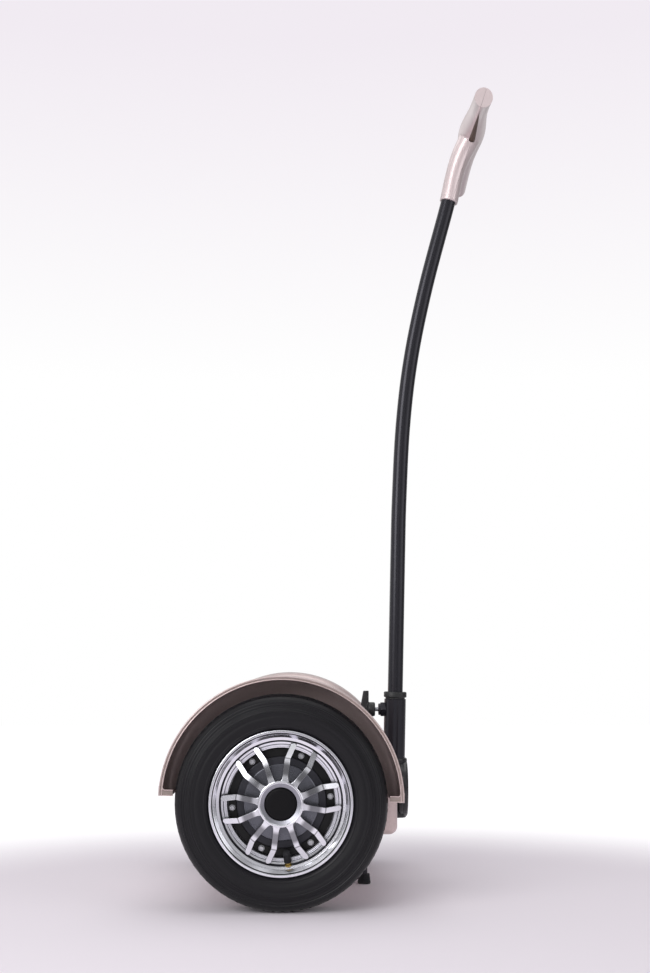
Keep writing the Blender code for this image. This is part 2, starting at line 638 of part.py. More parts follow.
def build_wheel_side(side, sign, root):
    """One wheel with its motor, axle and fender; local Z of each wheel frame points outboard."""
    place_at = (0, sign * WHEEL_Y, 0)
    turn = (-sign * math.pi / 2, 0, 0)
    wheel = empty(side + "_wheel_axis", place_at, turn, root)
    axle = empty(side + "_axle_axis", place_at, turn, root)
    build_rim(side, wheel)
    build_tyre(side, wheel)
    build_wheel_face(side, wheel)
    build_motor(side, wheel, axle)
    build_valve(side, wheel)
    build_fender(side, sign, root)


def build_frame(root):
    """Cast tray that carries both axles, the stem's lean pin and the parking stand."""
    half = FRAME_HALF_WIDTH
    frame = box("chassis_frame", (FRAME_REAR_X, -half, FRAME_BOTTOM_Z), (FRAME_FRONT_X, half, FRAME_TOP_Z),
                CAST_ALUMINIUM, root)
    wall = FRAME_WALL
    pocket = box("frame_pocket", (FRAME_REAR_X + wall, -half + wall, FRAME_BOTTOM_Z + wall),
                 (FRAME_FRONT_X - wall, half - wall, FRAME_TOP_Z + wall), parent=root, tool=True)
    cut(frame, pocket)
    block_low = -AXLE_BLOCK_WIDTH / 2
    for side, sign in (("right", -1), ("left", 1)):
        ends = sorted((sign * (half - wall / 2), sign * (half - AXLE_BLOCK_LENGTH)))
        block = box(side + "_axle_block", (-AXLE_BLOCK_WIDTH / 2, ends[0], block_low),
                    (AXLE_BLOCK_WIDTH / 2, ends[1], FRAME_TOP_Z - MM), parent=root, tool=True)
        join(frame, block)
    pin_block_start = FRAME_FRONT_X - PIN_BLOCK_LENGTH
    pin_block = box("lean_pin_block", (pin_block_start, -PIN_BLOCK_WIDTH / 2, FRAME_BOTTOM_Z + wall / 2),
                    (FRAME_FRONT_X - wall / 2, PIN_BLOCK_WIDTH / 2, FRAME_TOP_Z - MM), parent=root, tool=True)
    join(frame, pin_block)
    inner = STAND_LEG_WIDTH / 2 + SEAT_GAP
    outer = inner + STAND_EAR_THICKNESS
    for name, low_y, high_y in (("right_ear", -outer, -inner), ("left_ear", inner, outer)):
        ear = box(name, (STAND_X - STAND_EAR_RADIUS, low_y, STAND_PIVOT_Z - STAND_EAR_RADIUS + 2 * MM),
                  (STAND_X + STAND_EAR_RADIUS, high_y, FRAME_BOTTOM_Z + wall / 2), parent=root, tool=True)
        join(frame, ear)
    axle_bore = cylinder("axle_bore", INNER_BEARING_BORE / 2, 2 * (half + OVERRUN), (0, -half - OVERRUN, 0),
                         (0, 1, 0), parent=root, tool=True, sides=20)
    pin_bore = cylinder("lean_pin_bore", LEAN_PIN_RADIUS + SEAT_GAP, PIN_BLOCK_LENGTH + 2 * OVERRUN,
                        (pin_block_start - OVERRUN, 0, LEAN_AXIS_Z), (1, 0, 0), parent=root, tool=True,
                        sides=20)
    stand_bore = cylinder("stand_pin_bore", STAND_PIN_RADIUS + SEAT_GAP, 4 * outer,
                          (STAND_X, -2 * outer, STAND_PIVOT_Z), (0, 1, 0), parent=root, tool=True, sides=12)
    cut(frame, axle_bore, pin_bore, stand_bore)
    return frame


def stem_notch(name, low_z, high_z, root):
    """Cutter for the gap that the stem leans in, at the front of the skin and of the footboard."""
    return box(name, (FRAME_FRONT_X + SEAT_GAP, -NOTCH_HALF_WIDTH, low_z),
               (SHELL_FRONT_X + OVERRUN, NOTCH_HALF_WIDTH, high_z), parent=root, tool=True)


def build_shell(root):
    """Painted skin around the tray, open on top, with ways out for axles, stem and stand."""
    half = SHELL_HALF_WIDTH
    shell = box("body_shell", (SHELL_REAR_X, -half, SHELL_BOTTOM_Z),
                (SHELL_FRONT_X, half, FRAME_TOP_Z + SHELL_CORNER), CHAMPAGNE, root, bevel=SHELL_CORNER)
    skin = SHELL_SKIN
    inside = box("shell_inside", (SHELL_REAR_X + skin, -half + skin, SHELL_BOTTOM_Z + skin),
                 (SHELL_FRONT_X - skin, half - skin, FRAME_TOP_Z + 2 * SHELL_CORNER), parent=root, tool=True,
                 bevel=SHELL_CORNER - skin)
    top = box("shell_top_cut", (SHELL_REAR_X - skin, -half - skin, FRAME_TOP_Z),
              (SHELL_FRONT_X + skin, half + skin, FRAME_TOP_Z + 3 * SHELL_CORNER), parent=root, tool=True)
    notch = stem_notch("shell_stem_notch", SHELL_BOTTOM_Z - skin, FRAME_TOP_Z + SHELL_CORNER, root)
    slot_half = STAND_LEG_WIDTH / 2 + STAND_EAR_THICKNESS + 2 * MM
    slot = box("shell_stand_slot", (STAND_X - STAND_EAR_RADIUS - 2 * MM, -slot_half, SHELL_BOTTOM_Z - skin),
               (STAND_X + STAND_EAR_RADIUS + 2 * MM, slot_half, FRAME_BOTTOM_Z), parent=root, tool=True)
    windows = cylinder("shell_axle_windows", AXLE_WINDOW_RADIUS - 10 * MM, 2 * (half + OVERRUN),
                       (0, -half - OVERRUN, 0), (0, 1, 0), parent=root, tool=True, sides=20)
    cut(shell, inside, top, notch, slot, windows)
    return shell


def build_deck(root):
    """Footboard on the tray's rim, with two rubber foot mats, the power button and what lies below."""
    low = FRAME_TOP_Z + SEAT_GAP
    deck = box("footboard", (SHELL_REAR_X + MM, -SHELL_HALF_WIDTH + MM, low),
               (SHELL_FRONT_X - MM, SHELL_HALF_WIDTH - MM, DECK_TOP_Z), STEM_BLACK, root, bevel=2 * MM)
    button_hole = cylinder("button_hole", BUTTON_RADIUS + SEAT_GAP, 6 * DECK_THICKNESS,
                           (BUTTON_X, 0, low - DECK_THICKNESS), (0, 0, 1), parent=root, tool=True)
    notch = stem_notch("footboard_stem_notch", FRAME_TOP_Z - OVERRUN, DECK_TOP_Z + OVERRUN, root)
    cut(deck, button_hole, notch)
    mat_low = DECK_TOP_Z + SEAT_GAP
    for side, sign in (("right", -1), ("left", 1)):
        middle = sign * MAT_SPACING / 2
        box(side + "_foot_mat", (-MAT_LENGTH / 2, middle - MAT_WIDTH / 2, mat_low),
            (MAT_LENGTH / 2, middle + MAT_WIDTH / 2, mat_low + MAT_THICKNESS), SOFT_RUBBER, root,
            bevel=1.5 * MM)
    button_axis = empty("power_button_axis", (BUTTON_X, 0, DECK_TOP_Z), parent=root)
    turned("power_button", [
        (0, BUTTON_PROUD), (BUTTON_RADIUS - MM, BUTTON_PROUD), (BUTTON_RADIUS, BUTTON_PROUD - MM),
        (BUTTON_RADIUS, -DECK_THICKNESS + 3 * MM), (0, -DECK_THICKNESS + 3 * MM),
    ], BRIGHT_ALUMINIUM, button_axis, 24)
    floor = FRAME_BOTTOM_Z + FRAME_WALL + SEAT_GAP
    box("battery_pack", (BATTERY_X - BATTERY_LENGTH / 2, -BATTERY_WIDTH / 2, floor),
        (BATTERY_X + BATTERY_LENGTH / 2, BATTERY_WIDTH / 2, floor + BATTERY_HEIGHT), BATTERY_WRAP, root,
        bevel=3 * MM)
    box("controller_unit", (CONTROLLER_X - CONTROLLER_LENGTH / 2, -CONTROLLER_WIDTH / 2, floor),
        (CONTROLLER_X + CONTROLLER_LENGTH / 2, CONTROLLER_WIDTH / 2, floor + CONTROLLER_HEIGHT),
        CAST_ALUMINIUM, root, bevel=1.5 * MM)
    cap_z = (SHELL_BOTTOM_Z + FRAME_TOP_Z) / 2
    hinge = empty("charge_cap_axis", (SHELL_REAR_X, CHARGE_PORT_Y, cap_z + CHARGE_CAP_RADIUS), parent=root)
    cap = cylinder("charge_port_cap", CHARGE_CAP_RADIUS, CHARGE_CAP_THICKNESS,
                   (-SEAT_GAP, 0, -CHARGE_CAP_RADIUS), (-1, 0, 0), SOFT_RUBBER, hinge,
                   end_radius=CHARGE_CAP_RADIUS - MM)
    return cap


def build_stand(root):
    """Parking stand: a leg on a pin between the tray's ears, with a rubber foot on the floor."""
    axis = empty("stand_axis", (STAND_X, 0, STAND_PIVOT_Z), parent=root)
    half_width = STAND_LEG_WIDTH / 2
    half_depth = STAND_LEG_DEPTH / 2
    leg_end = FLOOR_Z + FOOT_HEIGHT - FOOT_SOCKET_DEPTH - STAND_PIVOT_Z
    leg = box("stand_leg", (-half_depth, -half_width, leg_end), (half_depth, half_width, half_depth),
              STEM_BLACK, axis, bevel=1.5 * MM)
    bore = cylinder("stand_leg_bore", STAND_PIN_RADIUS + SEAT_GAP, 2 * STAND_LEG_WIDTH,
                    (0, -STAND_LEG_WIDTH, 0), (0, 1, 0), parent=axis, tool=True, sides=12)
    cut(leg, bore)
    foot = turned("stand_foot", [
        (0, FOOT_HEIGHT), (FOOT_RADIUS - MM, FOOT_HEIGHT), (FOOT_RADIUS, FOOT_HEIGHT - 2 * MM),
        (FOOT_RADIUS + MM, 3 * MM), (FOOT_RADIUS, 0), (0, 0),
    ], SOFT_RUBBER, axis, 24)
    foot.location = (0, 0, FLOOR_Z - STAND_PIVOT_Z)
    socket = box("stand_foot_socket", (-half_depth - SEAT_GAP, -half_width - SEAT_GAP, leg_end - SEAT_GAP),
                 (half_depth + SEAT_GAP, half_width + SEAT_GAP, 0), parent=axis, tool=True)
    cut(foot, socket)
    reach = half_width + SEAT_GAP + STAND_EAR_THICKNESS + MM
    cylinder("stand_pin", STAND_PIN_RADIUS, 2 * reach, (STAND_X, -reach, STAND_PIVOT_Z), (0, 1, 0),
             ZINC, root, sides=12)


def stem_point(height):
    """Centre of the stem's straight part at a height."""
    return Vector((STEM_X + (height - STEM_REFERENCE_Z) * math.tan(STEM_TILT), 0, height))


def straight_rings(stations):
    """Oval rings along the stem's straight part, from (height, depth, width) stations."""
    along = Vector((math.sin(STEM_TILT), 0, math.cos(STEM_TILT)))
    return [oval_ring(stem_point(height), along, depth / 2, width / 2) for height, depth, width in stations]


def straight_tube(name, outer, inner, material, parent):
    """A tube along the stem's straight part from its outer and inner stations, both listed upwards."""
    rings = straight_rings(outer) + list(reversed(straight_rings(inner)))
    return loft(name, rings, material, parent, tube=True)


def stem_path():
    """The inner tube's centre line: straight where it slides, then bent forward."""
    bend = [Vector((x * MM, 0, z * MM)) for x, z in STEM_BEND]
    start = stem_point(STEM_STRAIGHT_TOP_Z)
    return [stem_point(INNER_TUBE_BOTTOM_Z)] + smooth_path([start] + bend, 2)


def build_stem(root):
    """Lean pivot, socket, outer tube, bush, clamp and the inner tube that slides."""
    lean = empty("stem_lean_axis", (0, 0, LEAN_AXIS_Z), parent=root)
    upright = empty("stem_frame", (0, 0, -LEAN_AXIS_Z), parent=lean)
    bore = (OUTER_TUBE[0] + 2 * SEAT_GAP, OUTER_TUBE[1] + 2 * SEAT_GAP)
    body = (OUTER_TUBE[0] + 2 * SOCKET_WALL, OUTER_TUBE[1] + 2 * SOCKET_WALL)
    socket_low = TUBE_BOTTOM_Z - 8 * MM
    socket = loft("stem_socket", straight_rings([
        (socket_low, *body), (SOCKET_TOP_Z - 3 * MM, *body),
        (SOCKET_TOP_Z, body[0] - 3 * MM, body[1] - 3 * MM),
    ]), CAST_ALUMINIUM, upright)
    forward = empty("socket_face_axis", (0, 0, LEAN_AXIS_Z), (0, math.pi / 2, 0), upright)
    face = turned("socket_face", [
        (0, SOCKET_FACE_X), (SOCKET_FACE_RADIUS - 5 * MM, SOCKET_FACE_X),
        (SOCKET_FACE_RADIUS, SOCKET_FACE_X - 5 * MM),
        (SOCKET_FACE_RADIUS, SOCKET_FACE_X - SOCKET_FACE_DEPTH), (0, SOCKET_FACE_X - SOCKET_FACE_DEPTH),
    ], None, forward, 36, tool=True)
    hub_start = FRAME_FRONT_X + 3 * MM
    hub = cylinder("socket_hub", SOCKET_HUB_RADIUS, STEM_X - hub_start, (hub_start, 0, LEAN_AXIS_Z),
                   (1, 0, 0), parent=upright, tool=True, sides=32)
    join(socket, face, hub)
    tube_bore = loft("socket_bore", straight_rings([
        (TUBE_BOTTOM_Z - SEAT_GAP, *bore), (SOCKET_TOP_Z + OVERRUN, *bore),
    ]), None, upright, tool=True)
    pin_end = stem_point(LEAN_AXIS_Z - LEAN_PIN_RADIUS).x - OUTER_TUBE[0] / 2 - 3 * SEAT_GAP
    pin_start = pin_end - LEAN_PIN_LENGTH
    pin_bore = cylinder("socket_pin_bore", LEAN_PIN_RADIUS + SEAT_GAP, LEAN_PIN_LENGTH + SEAT_GAP,
                        (pin_start, 0, LEAN_AXIS_Z), (1, 0, 0), parent=upright, tool=True, sides=20)
    cut(socket, tube_bore, pin_bore)
    cylinder("lean_pin", LEAN_PIN_RADIUS, LEAN_PIN_LENGTH, (pin_start, 0, LEAN_AXIS_Z), (1, 0, 0),
             STEEL, root, sides=20)
    hollow = (OUTER_TUBE[0] - 2 * OUTER_TUBE_WALL, OUTER_TUBE[1] - 2 * OUTER_TUBE_WALL)
    collar_low = COLLAR_TOP_Z - COLLAR_HEIGHT
    tube_top = collar_low - COLLAR_NECK
    outer_tube = loft("outer_stem_tube", straight_rings([
        (TUBE_BOTTOM_Z, *OUTER_TUBE), (tube_top, *OUTER_TUBE),
    ]), STEM_BLACK, upright)
    back = stem_point(CLAMP_Z).x - OUTER_TUBE[0] / 2
    boss = cylinder("clamp_boss", CLAMP_BOSS_RADIUS, CLAMP_BOSS_LENGTH + OUTER_TUBE_WALL,
                    (back - CLAMP_BOSS_LENGTH, 0, CLAMP_Z), (1, 0, 0), parent=upright, tool=True)
    tube_hollow = loft("tube_hollow", straight_rings([
        (TUBE_BOTTOM_Z - OVERRUN, *hollow), (tube_top + OVERRUN, *hollow),
    ]), None, upright, tool=True)
    bore_radius = CLAMP_SCREW_RADIUS + SEAT_GAP
    screw_bore = cylinder("clamp_screw_bore", bore_radius, CLAMP_BOSS_LENGTH + 1.5 * OVERRUN,
                          (back - CLAMP_BOSS_LENGTH - OVERRUN / 2, 0, CLAMP_Z), (1, 0, 0), parent=upright,
                          tool=True, sides=16)
    join(outer_tube, boss)
    cut(outer_tube, tube_hollow, screw_bore)
    bush_outer = (hollow[0] - 2 * SEAT_GAP, hollow[1] - 2 * SEAT_GAP)
    slide = (INNER_TUBE[0] + 2 * SEAT_GAP, INNER_TUBE[1] + 2 * SEAT_GAP)
    neck = (hollow[0] + 2 * MM, hollow[1] + 2 * MM)
    neck_low = tube_top + SEAT_GAP
    straight_tube("stem_bush", [
        (tube_top - BUSH_DEPTH, *bush_outer), (neck_low, *bush_outer), (neck_low, *neck), (collar_low, *neck),
        (collar_low, *COLLAR), (COLLAR_TOP_Z - MM, *COLLAR),
        (COLLAR_TOP_Z, COLLAR[0] - 2 * MM, COLLAR[1] - 2 * MM),
    ], [(tube_top - BUSH_DEPTH, *slide), (COLLAR_TOP_Z, *slide)], BLACK_PLASTIC, upright)
    knob_x = back - CLAMP_BOSS_LENGTH - CLAMP_SCREW_SHOWN
    knob_axis = empty("clamp_knob_axis", (knob_x, 0, CLAMP_Z), parent=upright)
    inner_back = stem_point(CLAMP_Z - CLAMP_SCREW_RADIUS).x - INNER_TUBE[0] / 2
    screw_end = inner_back - SEAT_GAP - knob_axis.location.x
    cylinder("clamp_screw", CLAMP_SCREW_RADIUS, screw_end + KNOB_HUB_LENGTH / 2, (-KNOB_HUB_LENGTH / 2, 0, 0),
             (1, 0, 0), ZINC, knob_axis, sides=16)
    knob = cylinder("clamp_knob", KNOB_HUB_RADIUS, KNOB_HUB_LENGTH, (-KNOB_HUB_LENGTH, 0, 0), (1, 0, 0),
                    BLACK_PLASTIC, knob_axis)
    wing_back = -KNOB_HUB_LENGTH - KNOB_WING_LENGTH
    half_wing = KNOB_WING_WIDTH / 2
    span = KNOB_WING_SPAN
    tip_back = wing_back + 5 * MM
    tip_front = wing_back + KNOB_WING_LENGTH
    root_front = -KNOB_HUB_LENGTH / 3
    half_tip = half_wing * 0.7
    wing_rings = []
    for height, rear, front, half in (
            (-span, tip_back, tip_front, half_tip),
            (0, wing_back, root_front, half_wing),
            (span, tip_back, tip_front, half_tip)):
        corners = ((rear, -half), (rear, half), (front, half), (front, -half))
        wing_rings.append([Vector((x, y, height)) for x, y in corners])
    wing = loft("knob_wing", wing_rings, None, knob_axis, tool=True)
    knob_bore = cylinder("knob_bore", bore_radius, KNOB_HUB_LENGTH / 2 + 2 * SEAT_GAP,
                         (-KNOB_HUB_LENGTH / 2 - SEAT_GAP, 0, 0), (1, 0, 0), parent=knob_axis, tool=True,
                         sides=16)
    join(knob, wing)
    cut(knob, knob_bore)
    build_inner_stem(upright)


def build_inner_stem(upright):
    """Sliding inner tube and the two halves of the handle around its top."""
    sliding = empty("stem_slide_axis", (0, 0, 0), parent=upright)
    path = stem_path()
    ways = tangents(path)
    ways[0] = Vector((math.sin(STEM_TILT), 0, math.cos(STEM_TILT)))
    depth, width = INNER_TUBE[0] / 2, INNER_TUBE[1] / 2
    wall = INNER_TUBE_WALL
    outer = [oval_ring(p, t, depth, width, 14) for p, t in zip(path, ways)]
    inner = [oval_ring(p, t, depth - wall, width - wall, 14) for p, t in zip(path, ways)]
    loft("inner_stem_tube", outer + list(reversed(inner)), STEM_BLACK, sliding, tube=True)
    top = path[-1] + ways[-1] * 2 * SEAT_GAP
    low = path[-4] - ways[-4] * 10 * MM
    bore_path = [low] + path[-3:-1] + [top]
    bore_ways = tangents(bore_path)
    stem_bore = loft("handle_stem_bore", [oval_ring(p, t, depth + SEAT_GAP, width + SEAT_GAP, 14)
                                          for p, t in zip(bore_path, bore_ways)], None, sliding, tool=True)
    sleeve_path = [Vector((x * MM, 0, z * MM)) for x, z in SLEEVE_PATH]
    sleeve_path.append(Vector((BAR_CENTRE[0], 0, BAR_CENTRE[1])))
    sleeve_rings = []
    for p, t, a, b in zip(sleeve_path, tangents(sleeve_path), SLEEVE_HALF_DEPTHS, SLEEVE_HALF_WIDTHS):
        sleeve_rings.append(oval_ring(p, t, a * MM, b * MM, 20))
    sleeve = loft("handle_sleeve", sleeve_rings, None, sliding, tool=True)
    stations = (-1, -0.8, -0.5, -0.28, -0.12, 0, 0.12, 0.28, 0.5, 0.8, 1)
    swell = {1: 0, 0.8: 0.02, 0.5: 0.18, 0.28: 0.55, 0.12: 0.92, 0: 1}
    split_length = 2 * BAR_HALF_LENGTH
    for name, sign in (("handle_rear_shell", 1), ("handle_front_shell", -1)):
        rings = []
        for station in stations:
            grown = swell[abs(station)]
            x = BAR_END[0] + (BAR_CENTRE[0] - BAR_END[0]) * (1 - station ** 2)
            z = BAR_END[1] + (BAR_CENTRE[1] - BAR_END[1]) * (1 - station ** 2)
            half_x = BAR_END_RADII[0] + (BAR_MIDDLE_RADIUS - BAR_END_RADII[0]) * grown
            half_z = BAR_END_RADII[1] + (BAR_MIDDLE_RADIUS - BAR_END_RADII[1]) * grown
            ring = []
            for i in range(20):
                angle = 2 * math.pi * i / 20
                ring.append(Vector((x + half_x * math.cos(angle), station * BAR_HALF_LENGTH,
                                    z + half_z * math.sin(angle))))
            rings.append(ring)
        bar = loft(name, rings, CHAMPAGNE, sliding)
        plane = empty(name + "_split", (BAR_END[0], 0, BAR_END[1]), (0, SPLIT_LEAN, 0), sliding)
        edges = sorted((sign * -SPLIT_GAP / 2, sign * split_length))
        other_half = box(name + "_other_half", (edges[0], -split_length, -split_length),
                         (edges[1], split_length, split_length), parent=plane, tool=True)
        join(bar, sleeve)
        cut(bar, stem_bore, other_half)


def build_scooter():
    """Build every part under one empty that lies on the axle, a tyre's radius above the floor."""
    root = empty("scooter", (AXLE_X, 0, TYRE_RADIUS))
    for side, sign in (("right", -1), ("left", 1)):
        build_wheel_side(side, sign, root)
    build_frame(root)
    build_shell(root)
    build_deck(root)
    build_stand(root)
    build_stem(root)


build_scooter()
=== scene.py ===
"""Looks of the self-balancing scooter: fine surfaces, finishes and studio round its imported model.

Lengths are in metres, and mm() turns a size in millimetres into metres. +X is forward, +Y is the
rider's left and +Z is up. Sizes along X and Z are given from the wheel axle, as on the model.
"""

import logging
import math
from collections.abc import Iterable, Sequence
from dataclasses import dataclass, field
from enum import Enum
from typing import Any

import bmesh
import bpy
from mathutils import Matrix, Vector


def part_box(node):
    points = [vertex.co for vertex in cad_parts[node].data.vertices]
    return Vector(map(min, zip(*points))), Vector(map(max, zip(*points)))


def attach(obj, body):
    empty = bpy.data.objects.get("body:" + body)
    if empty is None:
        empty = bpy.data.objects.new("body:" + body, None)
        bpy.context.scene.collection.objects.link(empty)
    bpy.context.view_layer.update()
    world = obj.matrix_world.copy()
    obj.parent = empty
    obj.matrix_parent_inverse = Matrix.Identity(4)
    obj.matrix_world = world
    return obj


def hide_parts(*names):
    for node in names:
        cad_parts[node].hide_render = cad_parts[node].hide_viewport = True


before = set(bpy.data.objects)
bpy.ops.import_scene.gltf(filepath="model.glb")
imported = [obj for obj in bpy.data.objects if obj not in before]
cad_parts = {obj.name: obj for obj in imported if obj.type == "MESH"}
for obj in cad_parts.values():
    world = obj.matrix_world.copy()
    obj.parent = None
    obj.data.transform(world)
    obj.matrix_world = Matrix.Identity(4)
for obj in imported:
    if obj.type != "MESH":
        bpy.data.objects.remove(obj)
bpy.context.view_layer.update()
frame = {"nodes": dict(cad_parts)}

LOG = logging.getLogger("scooter")

Point = tuple[float, float]
Colour = tuple[float, float, float, float]
Shape = bmesh.types.BMesh
Tree = bpy.types.NodeTree
Socket = bpy.types.NodeSocket

X_AXIS = Vector((1, 0, 0))
Y_AXIS = Vector((0, 1, 0))
Z_AXIS = Vector((0, 0, 1))
Z_FORWARDS = Matrix.Rotation(math.pi / 2, 4, "Y")
Z_BACKWARDS = Matrix.Rotation(-math.pi / 2, 4, "Y")

# Limits in millimetres that lie beyond every turned shape
FAR = 1000.0
ANYWHERE = (-FAR, FAR)


def mm(size: float) -> float:
    """Turn millimetres into metres."""
    return size * 0.001


def linear(hex_colour: str) -> Colour:
    """Turn an sRGB hex colour into linear light.

    Args:
        hex_colour: a colour such as "#c8b4b0".

    Returns:
        Red, green, blue and an alpha of 1.
    """
    channels = []
    for start in (1, 3, 5):
        value = int(hex_colour[start:start + 2], 16) / 255
        channels.append(value / 12.92 if value <= 0.04045 else ((value + 0.055) / 1.055) ** 2.4)
    return (channels[0], channels[1], channels[2], 1.0)


class Slot(Enum):
    """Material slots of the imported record."""

    TYRE_RUBBER = "tyre_rubber"
    SOFT_RUBBER = "soft_rubber"
    MACHINED_ALUMINIUM = "machined_aluminium"
    CAST_ALUMINIUM = "cast_aluminium"
    MOTOR_BLACK = "motor_black"
    GROUND_STEEL = "ground_steel"
    WOUND_CORE = "wound_core"
    CHAMPAGNE_PAINT = "champagne_paint"
    BLACK_ANODISED = "black_anodised"
    BLACK_PLASTIC = "black_plastic"
    BATTERY_WRAP = "battery_wrap"
    ZINC_PLATED_STEEL = "zinc_plated_steel"


class Body(Enum):
    """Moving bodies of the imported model."""

    CHASSIS = "chassis"
    RIGHT_WHEEL = "right_wheel"
    LEFT_WHEEL = "left_wheel"
    STEM = "stem"
    CLAMP = "clamp"
    SLIDER = "slider"
    STAND = "stand"
    BUTTON = "button"
    CHARGE_CAP = "charge_cap"


class Side(Enum):
    """The scooter's two sides, with the sign of Y that each lies on."""

    RIGHT = -1
    LEFT = 1

    @property
    def word(self) -> str:
        """The side's name in a node or piece name."""
        return self.name.lower()

    @property
    def wheel_body(self) -> Body:
        """The body that this side's wheel turns with."""
        return Body.RIGHT_WHEEL if self is Side.RIGHT else Body.LEFT_WHEEL


def add_node(tree: Tree, kind: str, inputs: dict[int | str, Any] | None = None,
             **settings: Any) -> bpy.types.Node:
    """Add a shader node with its settings, values and links.

    Args:
        tree: the node tree that takes the node.
        kind: the node's class name.
        inputs: a value, or an output socket to link from, for each input by name or number.
        settings: attributes of the node.

    Returns:
        The new node.
    """
    node = tree.nodes.new(kind)
    for name, value in settings.items():
        setattr(node, name, value)
    for key, value in (inputs or {}).items():
        if isinstance(value, Socket):
            tree.links.new(value, node.inputs[key])
        else:
            node.inputs[key].default_value = value
    return node


@dataclass(frozen=True)
class Finish:
    """A surface, named for its real material and how it was made. Sizes are in millimetres."""

    name: str
    slot: Slot
    colour: str
    drift_colour: str
    roughness: float
    metallic: float = 0.0
    drift_size: float = 60.0
    roughness_spread: float = 0.05
    grain_size: float = 1.2
    grain_height: float = 0.02
    grain_stretch: tuple[float, float, float] = (1.0, 1.0, 1.0)
    coat: float = 0.0
    coat_roughness: float = 0.05
    anisotropy: float = 0.0
    specular: float = 0.5

    def material(self) -> bpy.types.Material:
        """Build the finish once, and return it each time."""
        known = bpy.data.materials.get(self.name)
        if known:
            return known
        made = bpy.data.materials.new(self.name)
        made.use_nodes = True
        tree = made.node_tree
        shader = tree.nodes["Principled BSDF"]
        shader.inputs["Metallic"].default_value = self.metallic
        shader.inputs["Coat Weight"].default_value = self.coat
        shader.inputs["Coat Roughness"].default_value = self.coat_roughness
        shader.inputs["Anisotropic"].default_value = self.anisotropy
        shader.inputs["Specular IOR Level"].default_value = self.specular
        place = add_node(tree, "ShaderNodeTexCoord").outputs["Object"]
        drift = add_node(tree, "ShaderNodeTexNoise", {
            "Vector": place, "Scale": 1 / mm(self.drift_size), "Detail": 3.0,
        })
        tone = add_node(tree, "ShaderNodeMix", {
            0: drift.outputs["Fac"], 6: linear(self.colour), 7: linear(self.drift_colour),
        }, data_type="RGBA")
        self.paint(tree, shader, tone.outputs[2], place)
        rough = add_node(tree, "ShaderNodeMapRange", {
            "Value": drift.outputs["Fac"], 1: 0.3, 2: 0.7,
            3: self.roughness - self.roughness_spread, 4: self.roughness + self.roughness_spread,
        })
        tree.links.new(rough.outputs["Result"], shader.inputs["Roughness"])
        relief = add_node(tree, "ShaderNodeBump", {
            "Height": self.relief(tree, place), "Strength": 1.0, "Distance": mm(self.grain_height),
        })
        tree.links.new(relief.outputs["Normal"], shader.inputs["Normal"])
        return made

    def paint(self, tree: Tree, shader: bpy.types.Node, tone: Socket,
              place: Socket) -> None:
        """Give the shader its colour.

        Args:
            tree: the material's nodes.
            shader: the Principled BSDF.
            tone: the colour with its slow drift.
            place: object coordinates; not used here.
        """
        tree.links.new(tone, shader.inputs["Base Color"])

    def relief(self, tree: Tree, place: Socket) -> Socket:
        """Fine grain of the surface.

        Args:
            tree: the material's nodes.
            place: object coordinates.

        Returns:
            A height from 0 to 1.
        """
        spread = add_node(tree, "ShaderNodeMapping", {"Vector": place, "Scale": self.grain_stretch})
        grain = add_node(tree, "ShaderNodeTexNoise", {
            "Vector": spread.outputs["Vector"], "Scale": 1 / mm(self.grain_size), "Detail": 2.0,
        })
        return grain.outputs["Fac"]


@dataclass(frozen=True)
class FlakePaint(Finish):
    """Metallic lacquer: aluminium flakes under a clear coat. Flakes are drawn coarser than real ones."""

    flake_size: float = 0.9
    flake_light: str = "#eee3e0"
    flake_share: float = 0.22

    def paint(self, tree: Tree, shader: bpy.types.Node, tone: Socket,
              place: Socket) -> None:
        """Scatter light and dark flakes over the colour.

        Args:
            tree: the material's nodes.
            shader: the Principled BSDF.
            tone: the colour with its slow drift.
            place: object coordinates.
        """
        cells = add_node(tree, "ShaderNodeTexVoronoi", {"Vector": place, "Scale": 1 / mm(self.flake_size)})
        grey = add_node(tree, "ShaderNodeSeparateColor", {0: cells.outputs["Color"]})
        share = add_node(tree, "ShaderNodeMapRange", {
            "Value": grey.outputs[0], 1: 0.0, 2: 1.0, 3: 0.0, 4: self.flake_share,
        })
        mixed = add_node(tree, "ShaderNodeMix", {
            0: share.outputs["Result"], 6: tone, 7: linear(self.flake_light),
        }, data_type="RGBA")
        tree.links.new(mixed.outputs[2], shader.inputs["Base Color"])


